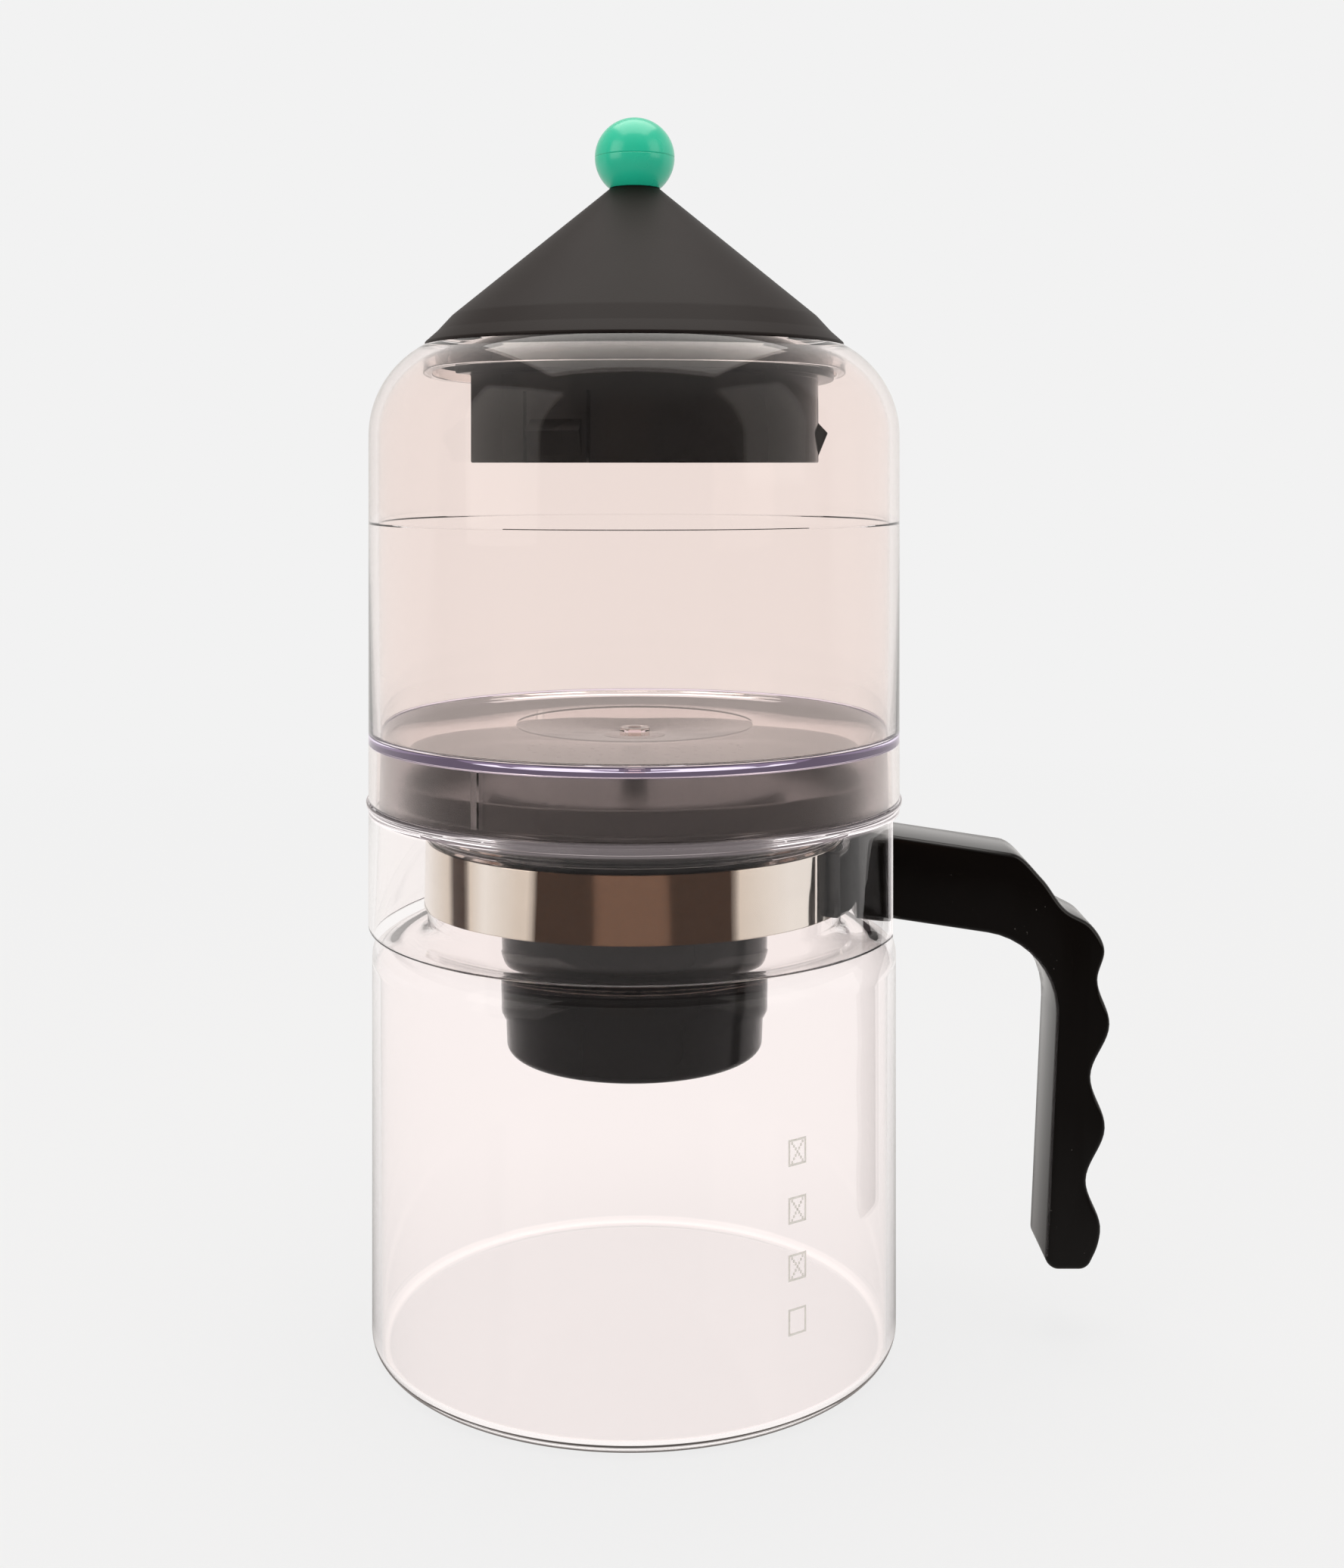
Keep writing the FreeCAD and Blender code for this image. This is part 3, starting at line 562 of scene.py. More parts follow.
def build_jug_glass(sizes, material):
    wall = sizes.glass_wall
    neck = neck_radius(sizes) - FIT
    shoulder = BODY_TOP + SHOULDER_ROUND
    bead = neck + BEAD_OUT
    corners = [
        (0, 0, 0),
        (JUG_R, 0, FOOT_ROUND),
        (JUG_R, shoulder, SHOULDER_ROUND),
        (neck, shoulder, NECK_ROUND),
        (neck, RIM_Z - BEAD_TALL - BEAD_OUT, 0.8 * MM),
        (bead, RIM_Z - BEAD_TALL, 0.8 * MM),
        (bead, RIM_Z, 0.7 * MM),
        (neck - wall, RIM_Z, 0.7 * MM),
        (neck - wall, shoulder - wall, NECK_ROUND + wall),
        (JUG_R - wall, shoulder - wall, SHOULDER_ROUND - wall),
        (JUG_R - wall, wall, FOOT_ROUND - wall),
        (0, wall, 0),
    ]
    mesh = turned(bmesh.new(), corners, closed=False)
    return finish_piece(mesh, "glass_jug", "jug", material,
                        ["jug_base", "jug_wall", "jug_neck"])


def build_level_marks(material):
    """Four plain level marks, each a thin frame; all but the lowest hold two lines that cross."""
    half = math.degrees(MARK_WIDE / JUG_R) / 2
    near = JUG_R + 0.01 * MM
    far = near + MARK_THICK
    line_turn = math.degrees(MARK_LINE / JUG_R)
    mesh = bmesh.new()

    def patch(start, sweep, low, high):
        corners = [(near, low, 0), (far, low, 0), (far, high, 0), (near, high, 0)]
        turned(mesh, corners, start=start, sweep=sweep)

    for index, height in enumerate(MARK_HEIGHTS):
        low = height - MARK_TALL / 2
        high = height + MARK_TALL / 2
        left = MARK_BEARING - half
        patch(left, line_turn, low, high)
        patch(MARK_BEARING + half - line_turn, line_turn, low, high)
        patch(left + line_turn, 2 * half - 2 * line_turn, low, low + MARK_LINE)
        patch(left + line_turn, 2 * half - 2 * line_turn, high - MARK_LINE, high)
        step = (MARK_TALL - 2 * MARK_LINE) / MARK_ROWS
        for row in range(MARK_ROWS if index < CROSSED_MARKS else 0):
            share = (row + 0.5) / MARK_ROWS
            out = abs(1 - 2 * share) * (half - 1.6 * line_turn)
            floor = low + MARK_LINE + row * step
            for side in (-1, 1):
                patch(MARK_BEARING + side * out - line_turn / 2, line_turn, floor, floor + step * 0.9)
    return finish_piece(mesh, "level_marks", "jug", material)


# Band, saddle and handle

TAB_LONG = 11.0 * MM
TAB_TALL = 9.0 * MM
TAB_GAP = 0.6 * MM
SADDLE_THICK = 2.6 * MM
SADDLE_SPAN = 28.0
SADDLE_INSET = 0.4 * MM
ARM_TOP_Z = 113.7 * MM
ARM_TALL = 18.6 * MM
ARM_DROP = 0.15
ARM_FROM_X = 57.8 * MM
ARM_TOP_END_X = 84.2 * MM
KNUCKLE = [(91.2, 104.0), (96.6, 97.0), (102.6, 93.2), (105.1, 88.6), (103.6, 81.5)]
CREST_X = 106.3
CREST_Z = 71.5
GRIP_PITCH = 23.2
GRIP_LEAN = 1.05
GRIP_DEPTH = 3.75
GRIP_CRESTS = 3
GRIP_END_Z = 16.8
GRIP_TAIL = (1.4, 5.0)
PALM_END_X = 91.7
PALM_LEAN = 0.046
PALM_ROUND = 18.0
GRIP_END_ROUND = 3.0


def build_band(sizes, material):
    inner = neck_radius(sizes)
    gap = math.degrees(TAB_GAP / BAND_R)
    edge = 0.25 * MM
    corners = [(inner, BAND_LOW, 0.1 * MM), (BAND_R, BAND_LOW, edge),
               (BAND_R, BAND_TOP, edge), (inner, BAND_TOP, 0.1 * MM)]
    mesh = turned(bmesh.new(), corners, start=gap / 2, sweep=360 - gap)
    middle = (BAND_LOW + BAND_TOP) / 2
    for side in (-1, 1):
        near = side * TAB_GAP / 2
        far = near + side * sizes.band_thick
        block(mesh, (inner, min(near, far), middle - TAB_TALL / 2),
              (inner + TAB_LONG, max(near, far), middle + TAB_TALL / 2))
    return finish_piece(mesh, "steel_band", "jug", material, ["neck_band"])


def build_saddle(material):
    low = BAND_LOW + SADDLE_INSET
    high = BAND_TOP - SADDLE_INSET
    inner = BAND_R + FIT
    corners = [(inner, low, 0.2 * MM), (inner + SADDLE_THICK, low, 1.0 * MM),
               (inner + SADDLE_THICK, high, 1.0 * MM), (inner, high, 0.2 * MM)]
    mesh = turned(bmesh.new(), corners, start=-SADDLE_SPAN, sweep=2 * SADDLE_SPAN)
    caps = [face for face in mesh.faces if len(face.verts) > 4]
    rims = list({edge for face in caps for edge in face.edges})
    bmesh.ops.bevel(mesh, geom=rims, offset=0.5 * MM, segments=3, profile=0.5, affect="EDGES",
                    material=-1, clamp_overlap=True)
    return finish_piece(mesh, "band_saddle", "jug", material, ["handle_saddle"])


def arm_top(x):
    return ARM_TOP_Z - (x - ARM_FROM_X) * ARM_DROP


def grip_points():
    """The points that the handle's outer edge passes through."""
    points = [Vector((ARM_TOP_END_X, 0, arm_top(ARM_TOP_END_X)))]
    points += [Vector((x, 0, z)) * MM for x, z in KNUCKLE]
    for number in range(GRIP_CRESTS):
        crest = Vector((CREST_X - number * GRIP_LEAN, 0, CREST_Z - number * GRIP_PITCH))
        points.append(crest * MM)
        if number < GRIP_CRESTS - 1:
            valley = crest - Vector((GRIP_LEAN / 2 + GRIP_DEPTH, 0, GRIP_PITCH / 2))
            points.append(valley * MM)
    points.append((crest - Vector((GRIP_TAIL[0], 0, GRIP_TAIL[1]))) * MM)
    return points


def smooth_through(points, first, last, steps=10):
    """A curve through the points, with its direction given at both ends."""
    slopes = [Vector(first).normalized() * (points[1] - points[0]).length]
    for before, here, after in zip(points, points[1:], points[2:]):
        near, far = (here - before).length, (after - here).length
        slope = (here - before) / near * far + (after - here) / far * near
        slopes.append(slope / (near + far) * min(near, far))
    slopes.append(Vector(last).normalized() * (points[-1] - points[-2]).length)
    line = []
    for index, (here, after) in enumerate(zip(points, points[1:])):
        step = (after - here).length
        out = slopes[index].normalized() * step / 3
        back = slopes[index + 1].normalized() * step / 3
        line += interpolate_bezier(here, here + out, after - back, after, steps)[:-1]
    return line + [points[-1]]


def handle_outline():
    """The side view of the handle, as points in the plane of symmetry."""
    tail = Vector((-0.5, 0, -1))
    back = smooth_through(grip_points(), (1, 0, -ARM_DROP), tail)
    end = back[-1]
    root = BAND_R + 1.9 * MM
    heel = end + tail * (end.z - GRIP_END_Z * MM)
    toe_x = PALM_END_X * MM
    palm_z = arm_top(toe_x) - ARM_TALL
    palm_x = toe_x + (palm_z - GRIP_END_Z * MM) * PALM_LEAN
    inner = [(end.x, end.z, 0), (heel.x, heel.z, GRIP_END_ROUND * MM),
             (toe_x, GRIP_END_Z * MM, GRIP_END_ROUND * MM),
             (palm_x, arm_top(palm_x) - ARM_TALL, PALM_ROUND * MM),
             (root, arm_top(root) - ARM_TALL, 0)]
    points = [Vector((root, 0, arm_top(root)))] + back
    points += [Vector((p.x, 0, p.y)) for p in rounded(inner, closed=False)[1:]]
    return points


def build_handle(sizes, material):
    half = sizes.handle_thick / 2
    mesh = bmesh.new()
    verts = [mesh.verts.new(point - Vector((0, half, 0))) for point in handle_outline()]
    face = mesh.faces.new(verts)
    pushed = bmesh.ops.extrude_face_region(mesh, geom=[face])["geom"]
    moved = [item for item in pushed if isinstance(item, bmesh.types.BMVert)]
    bmesh.ops.translate(mesh, verts=moved, vec=(0, 2 * half, 0))
    rims = [edge for edge in mesh.edges
            if abs(edge.verts[0].co.y - edge.verts[1].co.y) < 1e-9]
    bmesh.ops.bevel(mesh, geom=rims, offset=sizes.handle_edge, segments=4, profile=0.5,
                    affect="EDGES", material=-1, clamp_overlap=True)
    return finish_piece(mesh, "grip_handle", "jug", material, ["handle"], sharp=40)


# Carrier ring and its sleeve

NOTCH_HALF = 19.7
LIP_OUT = 0.5 * MM
LIP_TALL = 0.8 * MM
LOCATOR_DEEP = 4.0 * MM
LOCATOR_PLAY = 0.6 * MM
CUP_PLAY = 1.0 * MM
SLEEVE_R = 57.0 * MM
SLEEVE_WALL = 1.8 * MM
SLEEVE_TOP = top_of("locating_sleeve")
SLEEVE_WEB = 0.8 * MM
SLOT_WIDE = 2.0 * MM
SLOT_BEARINGS = (237.0, 357.0, 117.0)


def cut_notch(mesh, outer, inner, low, high, half):
    """Open a window in a double wall, centred on +X, and line its sides and top."""
    def inside(face):
        centre = face.calc_center_median()
        bearing = math.degrees(math.atan2(centre.y, centre.x))
        flat = math.hypot(centre.x, centre.y)
        level = low - CLOSE < centre.z < high
        return level and abs(bearing) < half and inner - CLOSE < flat < outer + CLOSE

    def span(edge):
        """The least and the greatest distance of an edge's ends from the axis."""
        return sorted(math.hypot(vert.co.x, vert.co.y) for vert in edge.verts)
    gone = [face for face in mesh.faces if inside(face)]
    bmesh.ops.delete(mesh, geom=gone, context="FACES")
    rim = [edge for edge in mesh.edges if edge.is_boundary]
    middle = (outer + inner) / 2
    along = [edge for edge in rim if span(edge)[1] - span(edge)[0] <= CLOSE]
    outer_rim = [edge for edge in along if span(edge)[1] > middle]
    inner_rim = [edge for edge in along if span(edge)[1] < middle]
    bmesh.ops.bridge_loops(mesh, edges=outer_rim + inner_rim)


def build_carrier(sizes, material):
    wall = sizes.clear_wall
    edge = sizes.edge
    inner = TOWER_R - wall
    locator = neck_radius(sizes) - sizes.glass_wall - LOCATOR_PLAY
    hole = CUP_R + CUP_PLAY
    lip_low = SHELF_TOP - LIP_TALL
    corners = [
        (TOWER_R, SKIRT_Z, edge),
        (TOWER_R, RIM_Z, 0),
        (TOWER_R, lip_low - LIP_OUT, edge),
        (TOWER_R + LIP_OUT, lip_low, edge),
        (TOWER_R + LIP_OUT, SHELF_TOP - SEAM_GAP, edge),
        (hole, SHELF_TOP - SEAM_GAP, edge),
        (hole, RIM_Z, edge),
        (locator - wall, RIM_Z, 2 * edge),
        (locator - wall, RIM_Z - LOCATOR_DEEP, edge),
        (locator, RIM_Z - LOCATOR_DEEP, edge),
        (locator, RIM_Z, edge),
        (inner, RIM_Z, 0),
        (inner, SKIRT_Z, edge),
    ]
    mesh = turned(bmesh.new(), corners, start=NOTCH_HALF % (360 / AROUND))
    cut_notch(mesh, TOWER_R, inner, SKIRT_Z, RIM_Z, NOTCH_HALF)
    return finish_piece(mesh, "carrier_moulding", "carrier", material, ["carrier_ring"])


def build_sleeve(sizes, material):
    """The frosted ring: three long tongues on a low web."""
    edge = 0.2 * MM
    inner = SLEEVE_R - SLEEVE_WALL
    low = SHELF_TOP + SEAM_GAP
    web = low + SLEEVE_WEB
    mesh = turned(bmesh.new(), [(SLEEVE_R, low, 0), (SLEEVE_R, web, 0), (inner, web, 0), (inner, low, 0)])
    slot = math.degrees(SLOT_WIDE / SLEEVE_R)
    for bearing in SLOT_BEARINGS:
        corners = [(SLEEVE_R, web + SEAM_GAP, 0), (SLEEVE_R, SLEEVE_TOP, edge),
                   (inner, SLEEVE_TOP, edge), (inner, web + SEAM_GAP, 0)]
        turned(mesh, corners, start=bearing + slot / 2, sweep=120 - slot)
    return finish_piece(mesh, "frosted_sleeve", "carrier", material, ["locating_sleeve"])


# Basket

CUP_R = 31.2 * MM
CUP_END_R = 28.9 * MM
CUP_ROUND = 2.0 * MM
CUP_LOW = low_of("basket_cup")
PAN_TOP = top_of("basket_pan")
PAN_R = reach("basket_pan")


def build_basket(sizes, material):
    wall = sizes.black_wall
    corners = [
        (0, CUP_LOW, 0),
        (CUP_END_R, CUP_LOW, CUP_ROUND),
        (CUP_R, SHELF_TOP, 0.5 * MM),
        (PAN_R, SHELF_TOP + SEAM_GAP, 1.0 * MM),
        (PAN_R, PAN_TOP, 0.5 * MM),
        (PAN_R - wall, PAN_TOP, 0.5 * MM),
        (PAN_R - wall, SHELF_TOP + wall, 1.0 * MM),
        (CUP_R - wall, SHELF_TOP + wall, 0.8 * MM),
        (CUP_END_R - wall, CUP_LOW + wall, CUP_ROUND - wall),
        (0, CUP_LOW + wall, 0),
    ]
    mesh = turned(bmesh.new(), corners, closed=False)
    return finish_piece(mesh, "basket_moulding", "basket", material,
                        ["basket_pan", "basket_cup"])


# Tank

DISH_R = 27.1 * MM
DISH_DEEP = 2.0 * MM
NOZZLE_R = 3.4 * MM
NOZZLE_BODY_R = 2.4 * MM
DOME_WALL_TALL = 19.4 * MM
DOME_ROUND = 23.2 * MM
MOUTH_OUT_R = 47.9 * MM
MOUTH_R = 46.0 * MM
MOUTH_TALL = 5.8 * MM
SEAM_DEEP = 0.12 * MM
SEAM_TALL = 0.18 * MM


def arc_corners(centre_r, centre_z, radius, start, stop, steps=24):
    """Points of an arc, with no rounding of their own."""
    turns = [math.radians(start + (stop - start) * step / steps) for step in range(steps + 1)]
    return [(centre_r + radius * math.cos(turn), centre_z + radius * math.sin(turn), 0) for turn in turns]


def seam(z):
    """A fine groove round the outside, where two mouldings are bonded."""
    return [(TOWER_R, z - SEAM_TALL, 0), (TOWER_R - SEAM_DEEP, z, 0), (TOWER_R, z + SEAM_TALL, 0)]


def build_tank(sizes, material):
    """One bonded vessel: wall below the floor, floor with its dish, barrel, dome and mouth."""
    wall = sizes.clear_wall
    edge = sizes.edge
    low = SHELF_TOP + SEAM_GAP
    hub = NOZZLE_BODY_R + FIT
    dish = FLOOR_TOP - DISH_DEEP
    inner_r = TOWER_R - wall
    spring = BARREL_TOP + DOME_WALL_TALL
    centre = TOWER_R - DOME_ROUND
    inner_round = DOME_ROUND - wall
    top_turn = math.degrees(math.acos((MOUTH_OUT_R - centre) / DOME_ROUND))
    ring_r = MOUTH_R + wall
    ring_turn = math.degrees(math.acos((ring_r - centre) / inner_round))
    corners = [(TOWER_R, low, edge), *seam(FLOOR_TOP), *seam(BARREL_TOP)]
    corners += arc_corners(centre, spring, DOME_ROUND, 0, top_turn)[:-1]
    corners += [
        (MOUTH_OUT_R, MOUTH_Z, 0.3 * MM),
        (MOUTH_R, MOUTH_Z, 0.4 * MM),
        (MOUTH_R, MOUTH_Z - MOUTH_TALL, 0.4 * MM),
        (ring_r, MOUTH_Z - MOUTH_TALL, 0.4 * MM),
        *arc_corners(centre, spring, inner_round, ring_turn, 0),
        (inner_r, FLOOR_TOP, 1.5 * edge),
        (DISH_R, FLOOR_TOP, 0.8 * MM),
        (NOZZLE_R + 0.2 * MM, dish, 0.5 * MM),
        (hub, dish, 0),
        (hub, dish - wall, 0),
        (NOZZLE_R + wall, dish - wall, 0.5 * MM),
        (DISH_R, FLOOR_TOP - wall, 0.8 * MM),
        (inner_r, FLOOR_TOP - wall, 1.5 * edge),
        (inner_r, low, edge),
    ]
    mesh = turned(bmesh.new(), corners)
    return finish_piece(mesh, "tank_vessel", "tank", material,
                        ["tank_floor", "tank_barrel", "tank_dome"])


# Lid

CONE_RIM_R = reach("lid_cone")
CONE_RIM_TALL = 0.7 * MM
CONE_FLARE = (44.7 * MM, 3.2 * MM)
CONE_SHOULDER = (41.5 * MM, 6.7 * MM)
CONE_TOP = (7.9 * MM, 34.2 * MM)
CONE_FLAT_R = 5.5 * MM
CONE_WALL = 2.0 * MM
CONE_CAP = 2.5 * MM
STUD_HOLE_R = 2.1 * MM
COLLAR_LOW = low_of("lid_collar")
COLLAR_R = 41.8 * MM
COLLAR_IN_R = 39.8 * MM
FLANGE_R = 45.4 * MM
FLANGE_LOW = 7.2 * MM
FLANGE_HIGH = 1.7 * MM
SPIGOT_R = 42.9 * MM
POUR_HALF = 34.0
LUG_BEARINGS = (0.0, 112.0, 248.0)
LUG_OUT = 2.1 * MM
LUG_HALF = 8.0
LUG_UP = 1.6 * MM
LUG_TIP = 5.1 * MM
LUG_TALL = 7.5 * MM
TONGUE_HALF = 10.0
SLIT_WIDE = 0.9 * MM
SLIT_TALL = 15.0 * MM


def build_cone(material):
    slope = (CONE_TOP[1] - CONE_SHOULDER[1]) / (CONE_SHOULDER[0] - CONE_TOP[0])
    drop = CONE_WALL * math.hypot(1, slope)
    cap = CONE_TOP_Z - CONE_CAP
    shoulder_in = MOUTH_Z + CONE_SHOULDER[1] - drop
    cap_r = CONE_SHOULDER[0] - (cap - shoulder_in) / slope
    inner_r = CONE_SHOULDER[0] - 0.6 * MM
    step = MOUTH_Z + 0.8 * MM
    corners = [
        (STUD_HOLE_R, CONE_TOP_Z, 0),
        (CONE_FLAT_R, CONE_TOP_Z, 0.8 * MM),
        (CONE_TOP[0], MOUTH_Z + CONE_TOP[1], 2.5 * MM),
        (CONE_SHOULDER[0], MOUTH_Z + CONE_SHOULDER[1], 6 * MM),
        (CONE_FLARE[0], MOUTH_Z + CONE_FLARE[1], 4 * MM),
        (CONE_RIM_R, MOUTH_Z + CONE_RIM_TALL, 0.5 * MM),
        (CONE_RIM_R, MOUTH_Z + SEAM_GAP, 0.3 * MM),
        (SPIGOT_R + FIT, MOUTH_Z + SEAM_GAP, 0.2 * MM),
        (SPIGOT_R + FIT, step, 0),
        (inner_r, step, 0),
        (inner_r, shoulder_in, 0),
        (cap_r, cap, 0.5 * MM),
        (STUD_HOLE_R, cap, 0),
    ]
    mesh = turned(bmesh.new(), corners)
    return finish_piece(mesh, "cone_cap", "lid", material, ["lid_cone"])


def collar_sectors():
    """Bearings where the collar's skirt is whole, between slits and the pouring gap."""
    half_slit = math.degrees(SLIT_WIDE / COLLAR_R) / 2
    cuts = []
    for bearing in LUG_BEARINGS:
        for side in (-1, 1):
            middle = (bearing + side * TONGUE_HALF + 180) % 360 - 180
            cuts.append((middle - half_slit, middle + half_slit))
    cuts.sort()
    starts = [-180 + POUR_HALF] + [cut[1] for cut in cuts]
    stops = [cut[0] for cut in cuts] + [180 - POUR_HALF]
    return list(zip(starts, stops))


def build_collar(material):
    flange_low = MOUTH_Z - FLANGE_LOW
    flange_high = MOUTH_Z - FLANGE_HIGH
    slit_top = COLLAR_LOW + SLIT_TALL
    top = top_of("lid_collar")
    sweep = 360 - 2 * POUR_HALF
    start = -180 + POUR_HALF
    mesh = bmesh.new()
    turned(mesh, [(COLLAR_IN_R, slit_top, 0), (COLLAR_R, slit_top, 0), (COLLAR_R, flange_low, 0.5 * MM),
                  (FLANGE_R, flange_low, 0.4 * MM), (FLANGE_R, flange_high, 0.3 * MM),
                  (COLLAR_IN_R, flange_high, 0.3 * MM)], start=start, sweep=sweep)
    turned(mesh, [(COLLAR_IN_R, flange_high, 0), (SPIGOT_R, flange_high, 0), (SPIGOT_R, top, 0.3 * MM),
                  (COLLAR_IN_R, top, 0.3 * MM)])
    for first, last in collar_sectors():
        turned(mesh, [(COLLAR_IN_R, COLLAR_LOW, 0.4 * MM), (COLLAR_R, COLLAR_LOW, 0.4 * MM),
                      (COLLAR_R, slit_top + 0.1 * MM, 0), (COLLAR_IN_R, slit_top + 0.1 * MM, 0)],
               start=first, sweep=last - first)
    for bearing in LUG_BEARINGS:
        low = COLLAR_LOW + LUG_UP
        root = (COLLAR_R + COLLAR_IN_R) / 2
        turned(mesh, [(root, low, 0), (COLLAR_R, low, 0), (COLLAR_R + LUG_OUT, low + LUG_TIP, 0.3 * MM),
                      (COLLAR_R, low + LUG_TALL, 0), (root, low + LUG_TALL, 0)],
               start=bearing - LUG_HALF, sweep=2 * LUG_HALF)
    return finish_piece(mesh, "collar_moulding", "lid", material, ["lid_collar"])


# Ball knob

BALL_WALL = 1.8 * MM
BALL_SEAM = 0.12 * MM
SEAM_TURN = 1.2


def build_ball(material):
    """Two halves that meet in a fine seam round the middle."""
    foot_turn = math.degrees(math.asin((CONE_TOP_Z - BALL_Z) / BALL_R))
    lower = [(STUD_HOLE_R, CONE_TOP_Z + SEAM_GAP, 0)]
    lower += arc_corners(0, BALL_Z, BALL_R, foot_turn, -SEAM_TURN)
    lower += [(BALL_R - BALL_SEAM, BALL_Z - SEAM_GAP, 0), (STUD_HOLE_R, BALL_Z - SEAM_GAP, 0)]
    mesh = turned(bmesh.new(), lower)
    finish_piece(mesh, "ball_lower", "lid", material, ["knob_lower"])
    upper = [(BALL_R - BALL_WALL, BALL_Z, 0), (BALL_R - BALL_SEAM, BALL_Z, 0)]
    upper += arc_corners(0, BALL_Z, BALL_R, SEAM_TURN, 90)
    upper += arc_corners(0, BALL_Z, BALL_R - BALL_WALL, 90, 0)[:-1]
    mesh = turned(bmesh.new(), upper)
    finish_piece(mesh, "ball_upper", "lid", material, ["knob_upper"])


# Stage

EYE = Vector((0.0085, -0.438, 0.1965))
EYE_PITCH = 0.0
PHOTO_TALL = 2072
HORIZON_ROW = 614
FOCAL_PIXELS = 2538
SENSOR = 36.0
FLOOR_HALF = 6.0
FLOOR_DROP = 0.02 * MM
THROUGH = 1.03   # the backdrop as it shows through clear pieces, which would dim it
UNDER = 0.99     # and the same for the floor close to the jug
LAMP_COLOUR = (1.0, 0.97, 0.93)
LAMPS = (        # name, place, what it points at, size and watts
    ("left_panel", (-0.85, -0.60, 0.55), (0, 0, 0.14), (0.70, 0.90), 2.6),
    ("right_panel", (0.90, -0.50, 0.60), (0, 0, 0.14), (0.60, 0.90), 1.3),
    ("top_panel", (0.0, 0.1, 1.0), (0, 0, 0.1), (0.9, 0.9), 6.0),
)


def stage_floor(colours):
    """A pale floor that keeps a soft shadow and fades into the backdrop."""
    mesh = bmesh.new()
    bmesh.ops.create_grid(mesh, x_segments=8, y_segments=8, size=FLOOR_HALF)
    data = bpy.data.meshes.new("stage_floor")
    mesh.to_mesh(data)
    mesh.free()
    floor = add_object("stage_floor", data)
    floor.location.z = -FLOOR_DROP
    paint = new_finish("stage_floor")
    near = paint.ramp(paint.radius(), (0.0, 0.12), (0.30, 0.10), (0.9, 0.0))
    lit = paint.node("ShaderNodeBsdfDiffuse", sockets={"Color": (0.86, 0.85, 0.85, 1)})
    mirrored, through = paint.several("ShaderNodeLightPath", ("Is Glossy Ray", "Is Transmission Ray"))
    under = paint.ramp(paint.radius() * 5.0, (0.30, UNDER), (0.62, THROUGH))
    far = paint.ramp(paint.axes()[1] * 2.0 + 0.5, (0.2, (0.040, 0.026, 0.019)), (1.0, (0.80, 0.78, 0.76)))
    seen = paint.mix(mirrored, colours.backdrop, far)
    seen = paint.mix(through, seen, under)
    plain = paint.node("ShaderNodeEmission", sockets={"Color": seen})
    mixed = paint.node("ShaderNodeMixShader", sockets={0: near, 1: plain, 2: lit})
    paint.node("ShaderNodeOutputMaterial", sockets={"Surface": mixed})
    data.materials.append(paint.owner)


def stage_world(colours):
    """Pale where it is seen, even where it lights, and a dim warm room where it is mirrored."""
    world = bpy.data.worlds.new("studio")
    bpy.context.scene.world = world
    paint = Finish(world)
    seen, mirrored, through = paint.several(
        "ShaderNodeLightPath", ("Is Camera Ray", "Is Glossy Ray", "Is Transmission Ray"))
    way = paint.node("ShaderNodeTexCoord", out="Generated")
    east, north, up = paint.several("ShaderNodeSeparateXYZ", "XYZ", {0: way})
    room = paint.ramp(
        paint.bearing(east, north),
        (0.00, (0.86, 0.84, 0.82)), (0.20, (0.55, 0.50, 0.46)), (0.25, (0.62, 0.54, 0.47)),
        (0.26, (0.035, 0.022, 0.016)), (0.285, (0.04, 0.026, 0.019)), (0.30, (0.80, 0.71, 0.62)),
        (0.36, (0.72, 0.62, 0.52)), (0.38, (0.045, 0.026, 0.018)), (0.455, (0.03, 0.018, 0.013)),
        (0.475, (0.15, 0.085, 0.055)), (0.515, (0.12, 0.07, 0.045)), (0.53, (0.025, 0.015, 0.011)),
        (0.62, (0.045, 0.027, 0.019)), (0.64, (0.78, 0.69, 0.60)), (0.72, (0.92, 0.86, 0.80)),
        (0.745, (0.25, 0.18, 0.14)), (0.76, (0.90, 0.87, 0.84)), (1.00, (0.86, 0.84, 0.82)))
    above = paint.ramp(up, (0.45, 0.0), (0.75, 1.0))
    room = paint.mix(above, room, (0.42, 0.40, 0.38))
    light = paint.mix(mirrored, (0.50, 0.49, 0.48), room)
    colour = paint.mix(through, light, (THROUGH, THROUGH, THROUGH))
    colour = paint.mix(seen, colour, colours.backdrop)
    shade = paint.node("ShaderNodeBackground", sockets={"Color": colour, "Strength": 1.0})
    paint.node("ShaderNodeOutputWorld", sockets={"Surface": shade})


def panel_light(name, place, target, size, power):
    lamp = bpy.data.lights.new(name, "AREA")
    lamp.shape = "RECTANGLE"
    lamp.size, lamp.size_y = size
    lamp.energy = power
    lamp.color = LAMP_COLOUR
    panel = add_object(name, lamp)
    panel.location = place
    panel.rotation_euler = (Vector(target) - Vector(place)).to_track_quat("-Z", "Y").to_euler()


def stage_camera():
    data = bpy.data.cameras.new("photo_camera")
    data.sensor_width = SENSOR
    data.lens = FOCAL_PIXELS / PHOTO_TALL * SENSOR
    axis_row = HORIZON_ROW + FOCAL_PIXELS * math.tan(math.radians(EYE_PITCH))
    data.shift_y = (axis_row - PHOTO_TALL / 2) / PHOTO_TALL
    camera = add_object("photo_camera", data)
    camera.location = EYE
    camera.rotation_euler = (math.radians(90 - EYE_PITCH), 0, 0)
    bpy.context.scene.camera = camera


# Operators


class TowerOperator:
    """What every operator of the tower shares."""

    bl_options = {"REGISTER", "UNDO"}

    def look(self, context):
        return context.scene.tower_sizes, context.scene.tower_colours


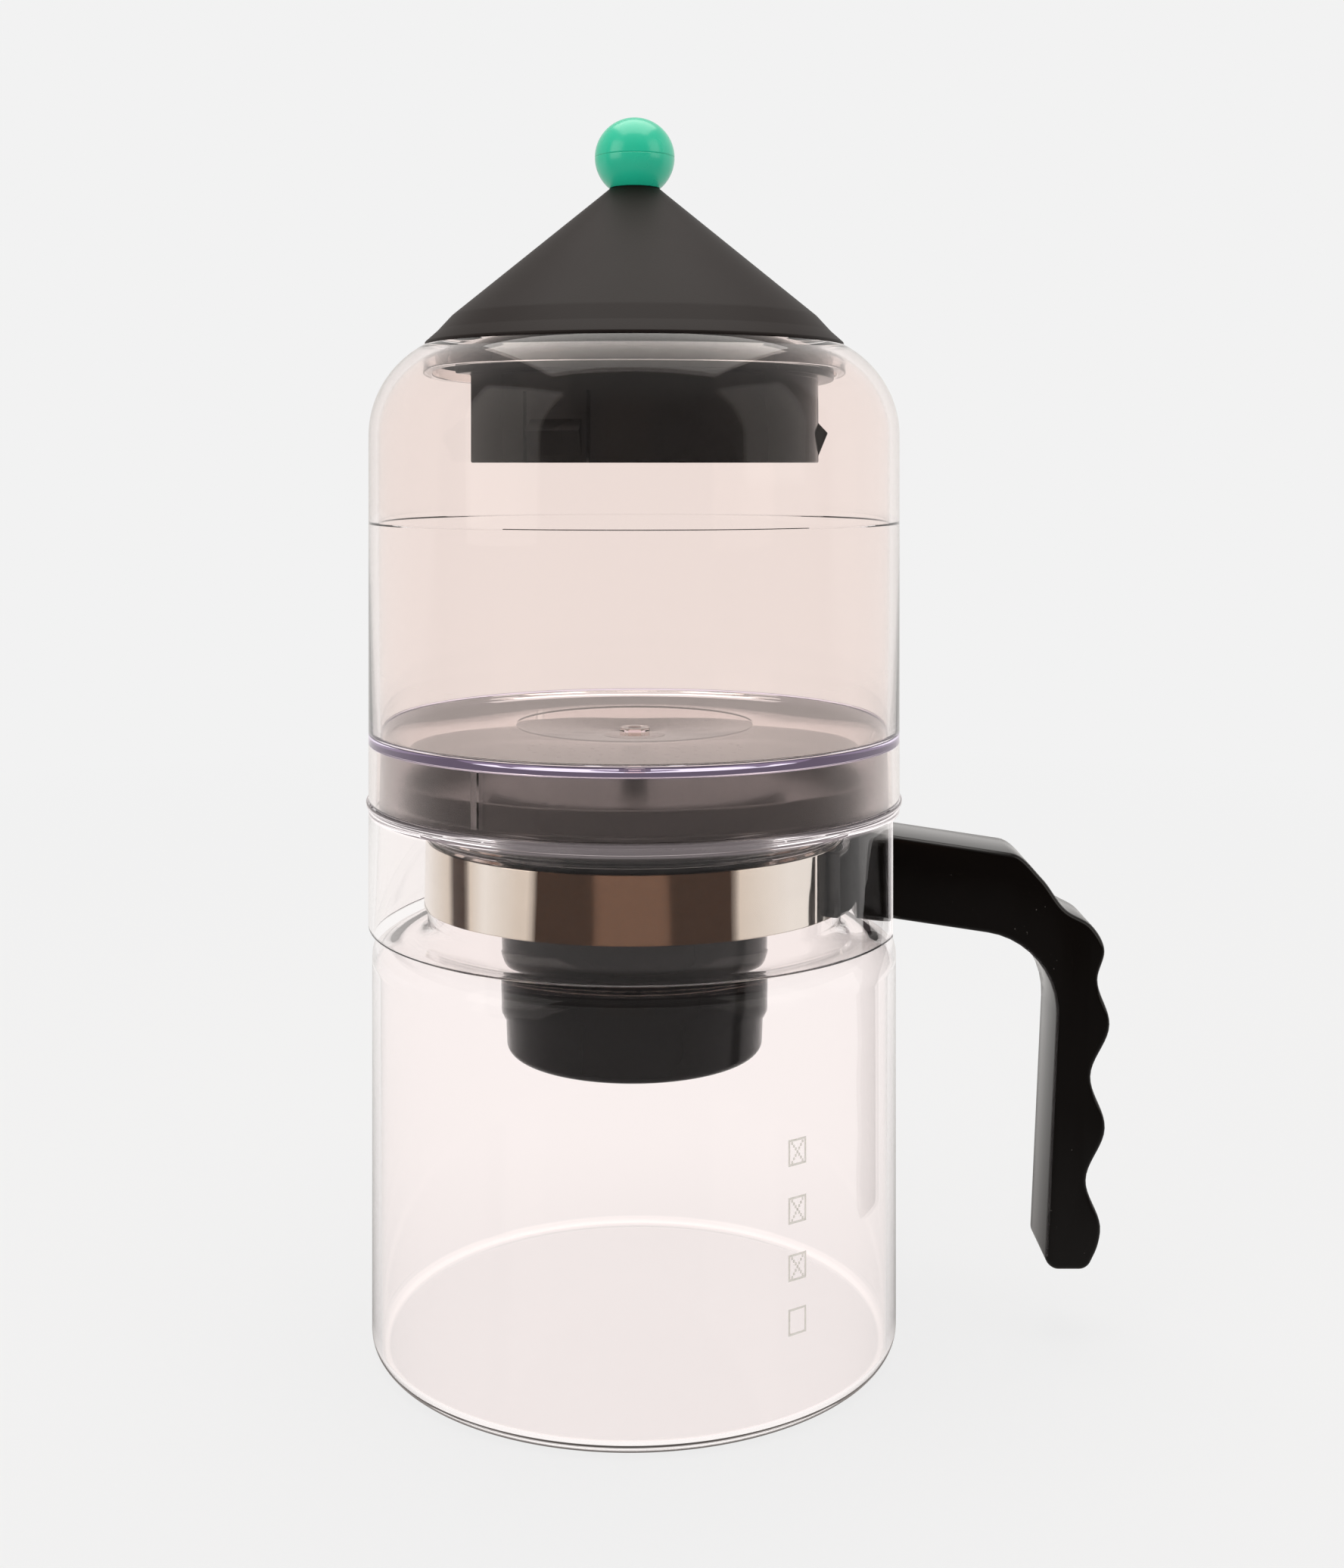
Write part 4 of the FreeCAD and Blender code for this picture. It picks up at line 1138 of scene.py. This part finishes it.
class OBJECT_OT_tower_jug(TowerOperator, bpy.types.Operator):
    """Blow the glass jug and print its level marks"""

    bl_idname = "object.tower_jug"
    bl_label = "Glass Jug"

    def execute(self, context):
        sizes, colours = self.look(context)
        build_jug_glass(sizes, glass_finish(colours))
        build_level_marks(mark_finish())
        return {"FINISHED"}


class OBJECT_OT_tower_handle(TowerOperator, bpy.types.Operator):
    """Fit the steel band, its saddle, the handle and the clamp screw"""

    bl_idname = "object.tower_handle"
    bl_label = "Band and Handle"

    def execute(self, context):
        sizes, colours = self.look(context)
        black = black_finish(colours, "black_gloss", HANDLE_SHINE)
        build_band(sizes, polished_finish(colours))
        build_saddle(black)
        build_handle(sizes, black)
        dress("clamp_screw", steel_finish())
        dress("clamp_insert", brass_finish())
        return {"FINISHED"}


class OBJECT_OT_tower_carrier(TowerOperator, bpy.types.Operator):
    """Mould the clear carrier ring and its frosted sleeve"""

    bl_idname = "object.tower_carrier"
    bl_label = "Carrier Ring"

    def execute(self, context):
        sizes, colours = self.look(context)
        build_carrier(sizes, clear_finish(colours))
        build_sleeve(sizes, frost_finish(colours))
        return {"FINISHED"}


class OBJECT_OT_tower_basket(TowerOperator, bpy.types.Operator):
    """Mould the filter basket and finish the mesh and spreader inside it"""

    bl_idname = "object.tower_basket"
    bl_label = "Filter Basket"

    def execute(self, context):
        sizes, colours = self.look(context)
        black = black_finish(colours, "basket_black", BASKET_SHINE)
        build_basket(sizes, black)
        dress("filter_mesh", steel_finish())
        dress("water_spreader", black)
        return {"FINISHED"}


class OBJECT_OT_tower_tank(TowerOperator, bpy.types.Operator):
    """Build the clear tank: floor, nozzle, barrel and dome"""

    bl_idname = "object.tower_tank"
    bl_label = "Water Tank"

    def execute(self, context):
        sizes, colours = self.look(context)
        clear = tank_finish(colours)
        build_tank(sizes, clear)
        dress("drip_nozzle", clear)
        return {"FINISHED"}


class OBJECT_OT_tower_lid(TowerOperator, bpy.types.Operator):
    """Turn the cone, its collar and the ball knob"""

    bl_idname = "object.tower_lid"
    bl_label = "Lid and Knob"

    def execute(self, context):
        _, colours = self.look(context)
        steel = steel_finish()
        build_cone(cone_finish(colours))
        build_collar(black_finish(colours, "collar_black", COLLAR_SHINE))
        build_ball(ball_finish(colours))
        for node in ("knob_stud", "knob_washer", "knob_nut"):
            dress(node, steel)
        return {"FINISHED"}


class OBJECT_OT_tower_stage(TowerOperator, bpy.types.Operator):
    """Set the pale floor, the soft lamps and the camera"""

    bl_idname = "object.tower_stage"
    bl_label = "Stage"

    def execute(self, context):
        _, colours = self.look(context)
        context.scene.view_settings.view_transform = "Standard"
        stage_floor(colours)
        stage_world(colours)
        for lamp in LAMPS:
            panel_light(*lamp)
        stage_camera()
        return {"FINISHED"}


OPERATORS = (
    OBJECT_OT_tower_jug, OBJECT_OT_tower_handle, OBJECT_OT_tower_carrier, OBJECT_OT_tower_basket,
    OBJECT_OT_tower_tank, OBJECT_OT_tower_lid, OBJECT_OT_tower_stage,
)


class VIEW3D_PT_tower(bpy.types.Panel):
    """Sizes, colours and steps of the tower"""

    bl_label = "Coffee Tower"
    bl_idname = "VIEW3D_PT_tower"
    bl_space_type = "VIEW_3D"
    bl_region_type = "UI"
    bl_category = "Tower"

    def draw(self, context):
        column = self.layout.column()
        for group in (context.scene.tower_sizes, context.scene.tower_colours):
            for name in group.__annotations__:
                column.prop(group, name)
        for operator in OPERATORS:
            column.operator(operator.bl_idname)


CLASSES = (TowerSizes, TowerColours, *OPERATORS, VIEW3D_PT_tower)


def register():
    for item in CLASSES:
        bpy.utils.register_class(item)
    bpy.types.Scene.tower_sizes = bpy.props.PointerProperty(type=TowerSizes)
    bpy.types.Scene.tower_colours = bpy.props.PointerProperty(type=TowerColours)


def unregister():
    del bpy.types.Scene.tower_colours
    del bpy.types.Scene.tower_sizes
    for item in reversed(CLASSES):
        bpy.utils.unregister_class(item)


def main():
    register()
    bpy.ops.object.tower_jug()
    bpy.ops.object.tower_handle()
    bpy.ops.object.tower_carrier()
    bpy.ops.object.tower_basket()
    bpy.ops.object.tower_tank()
    bpy.ops.object.tower_lid()
    bpy.ops.object.tower_stage()


if __name__ == "__main__":
    main()
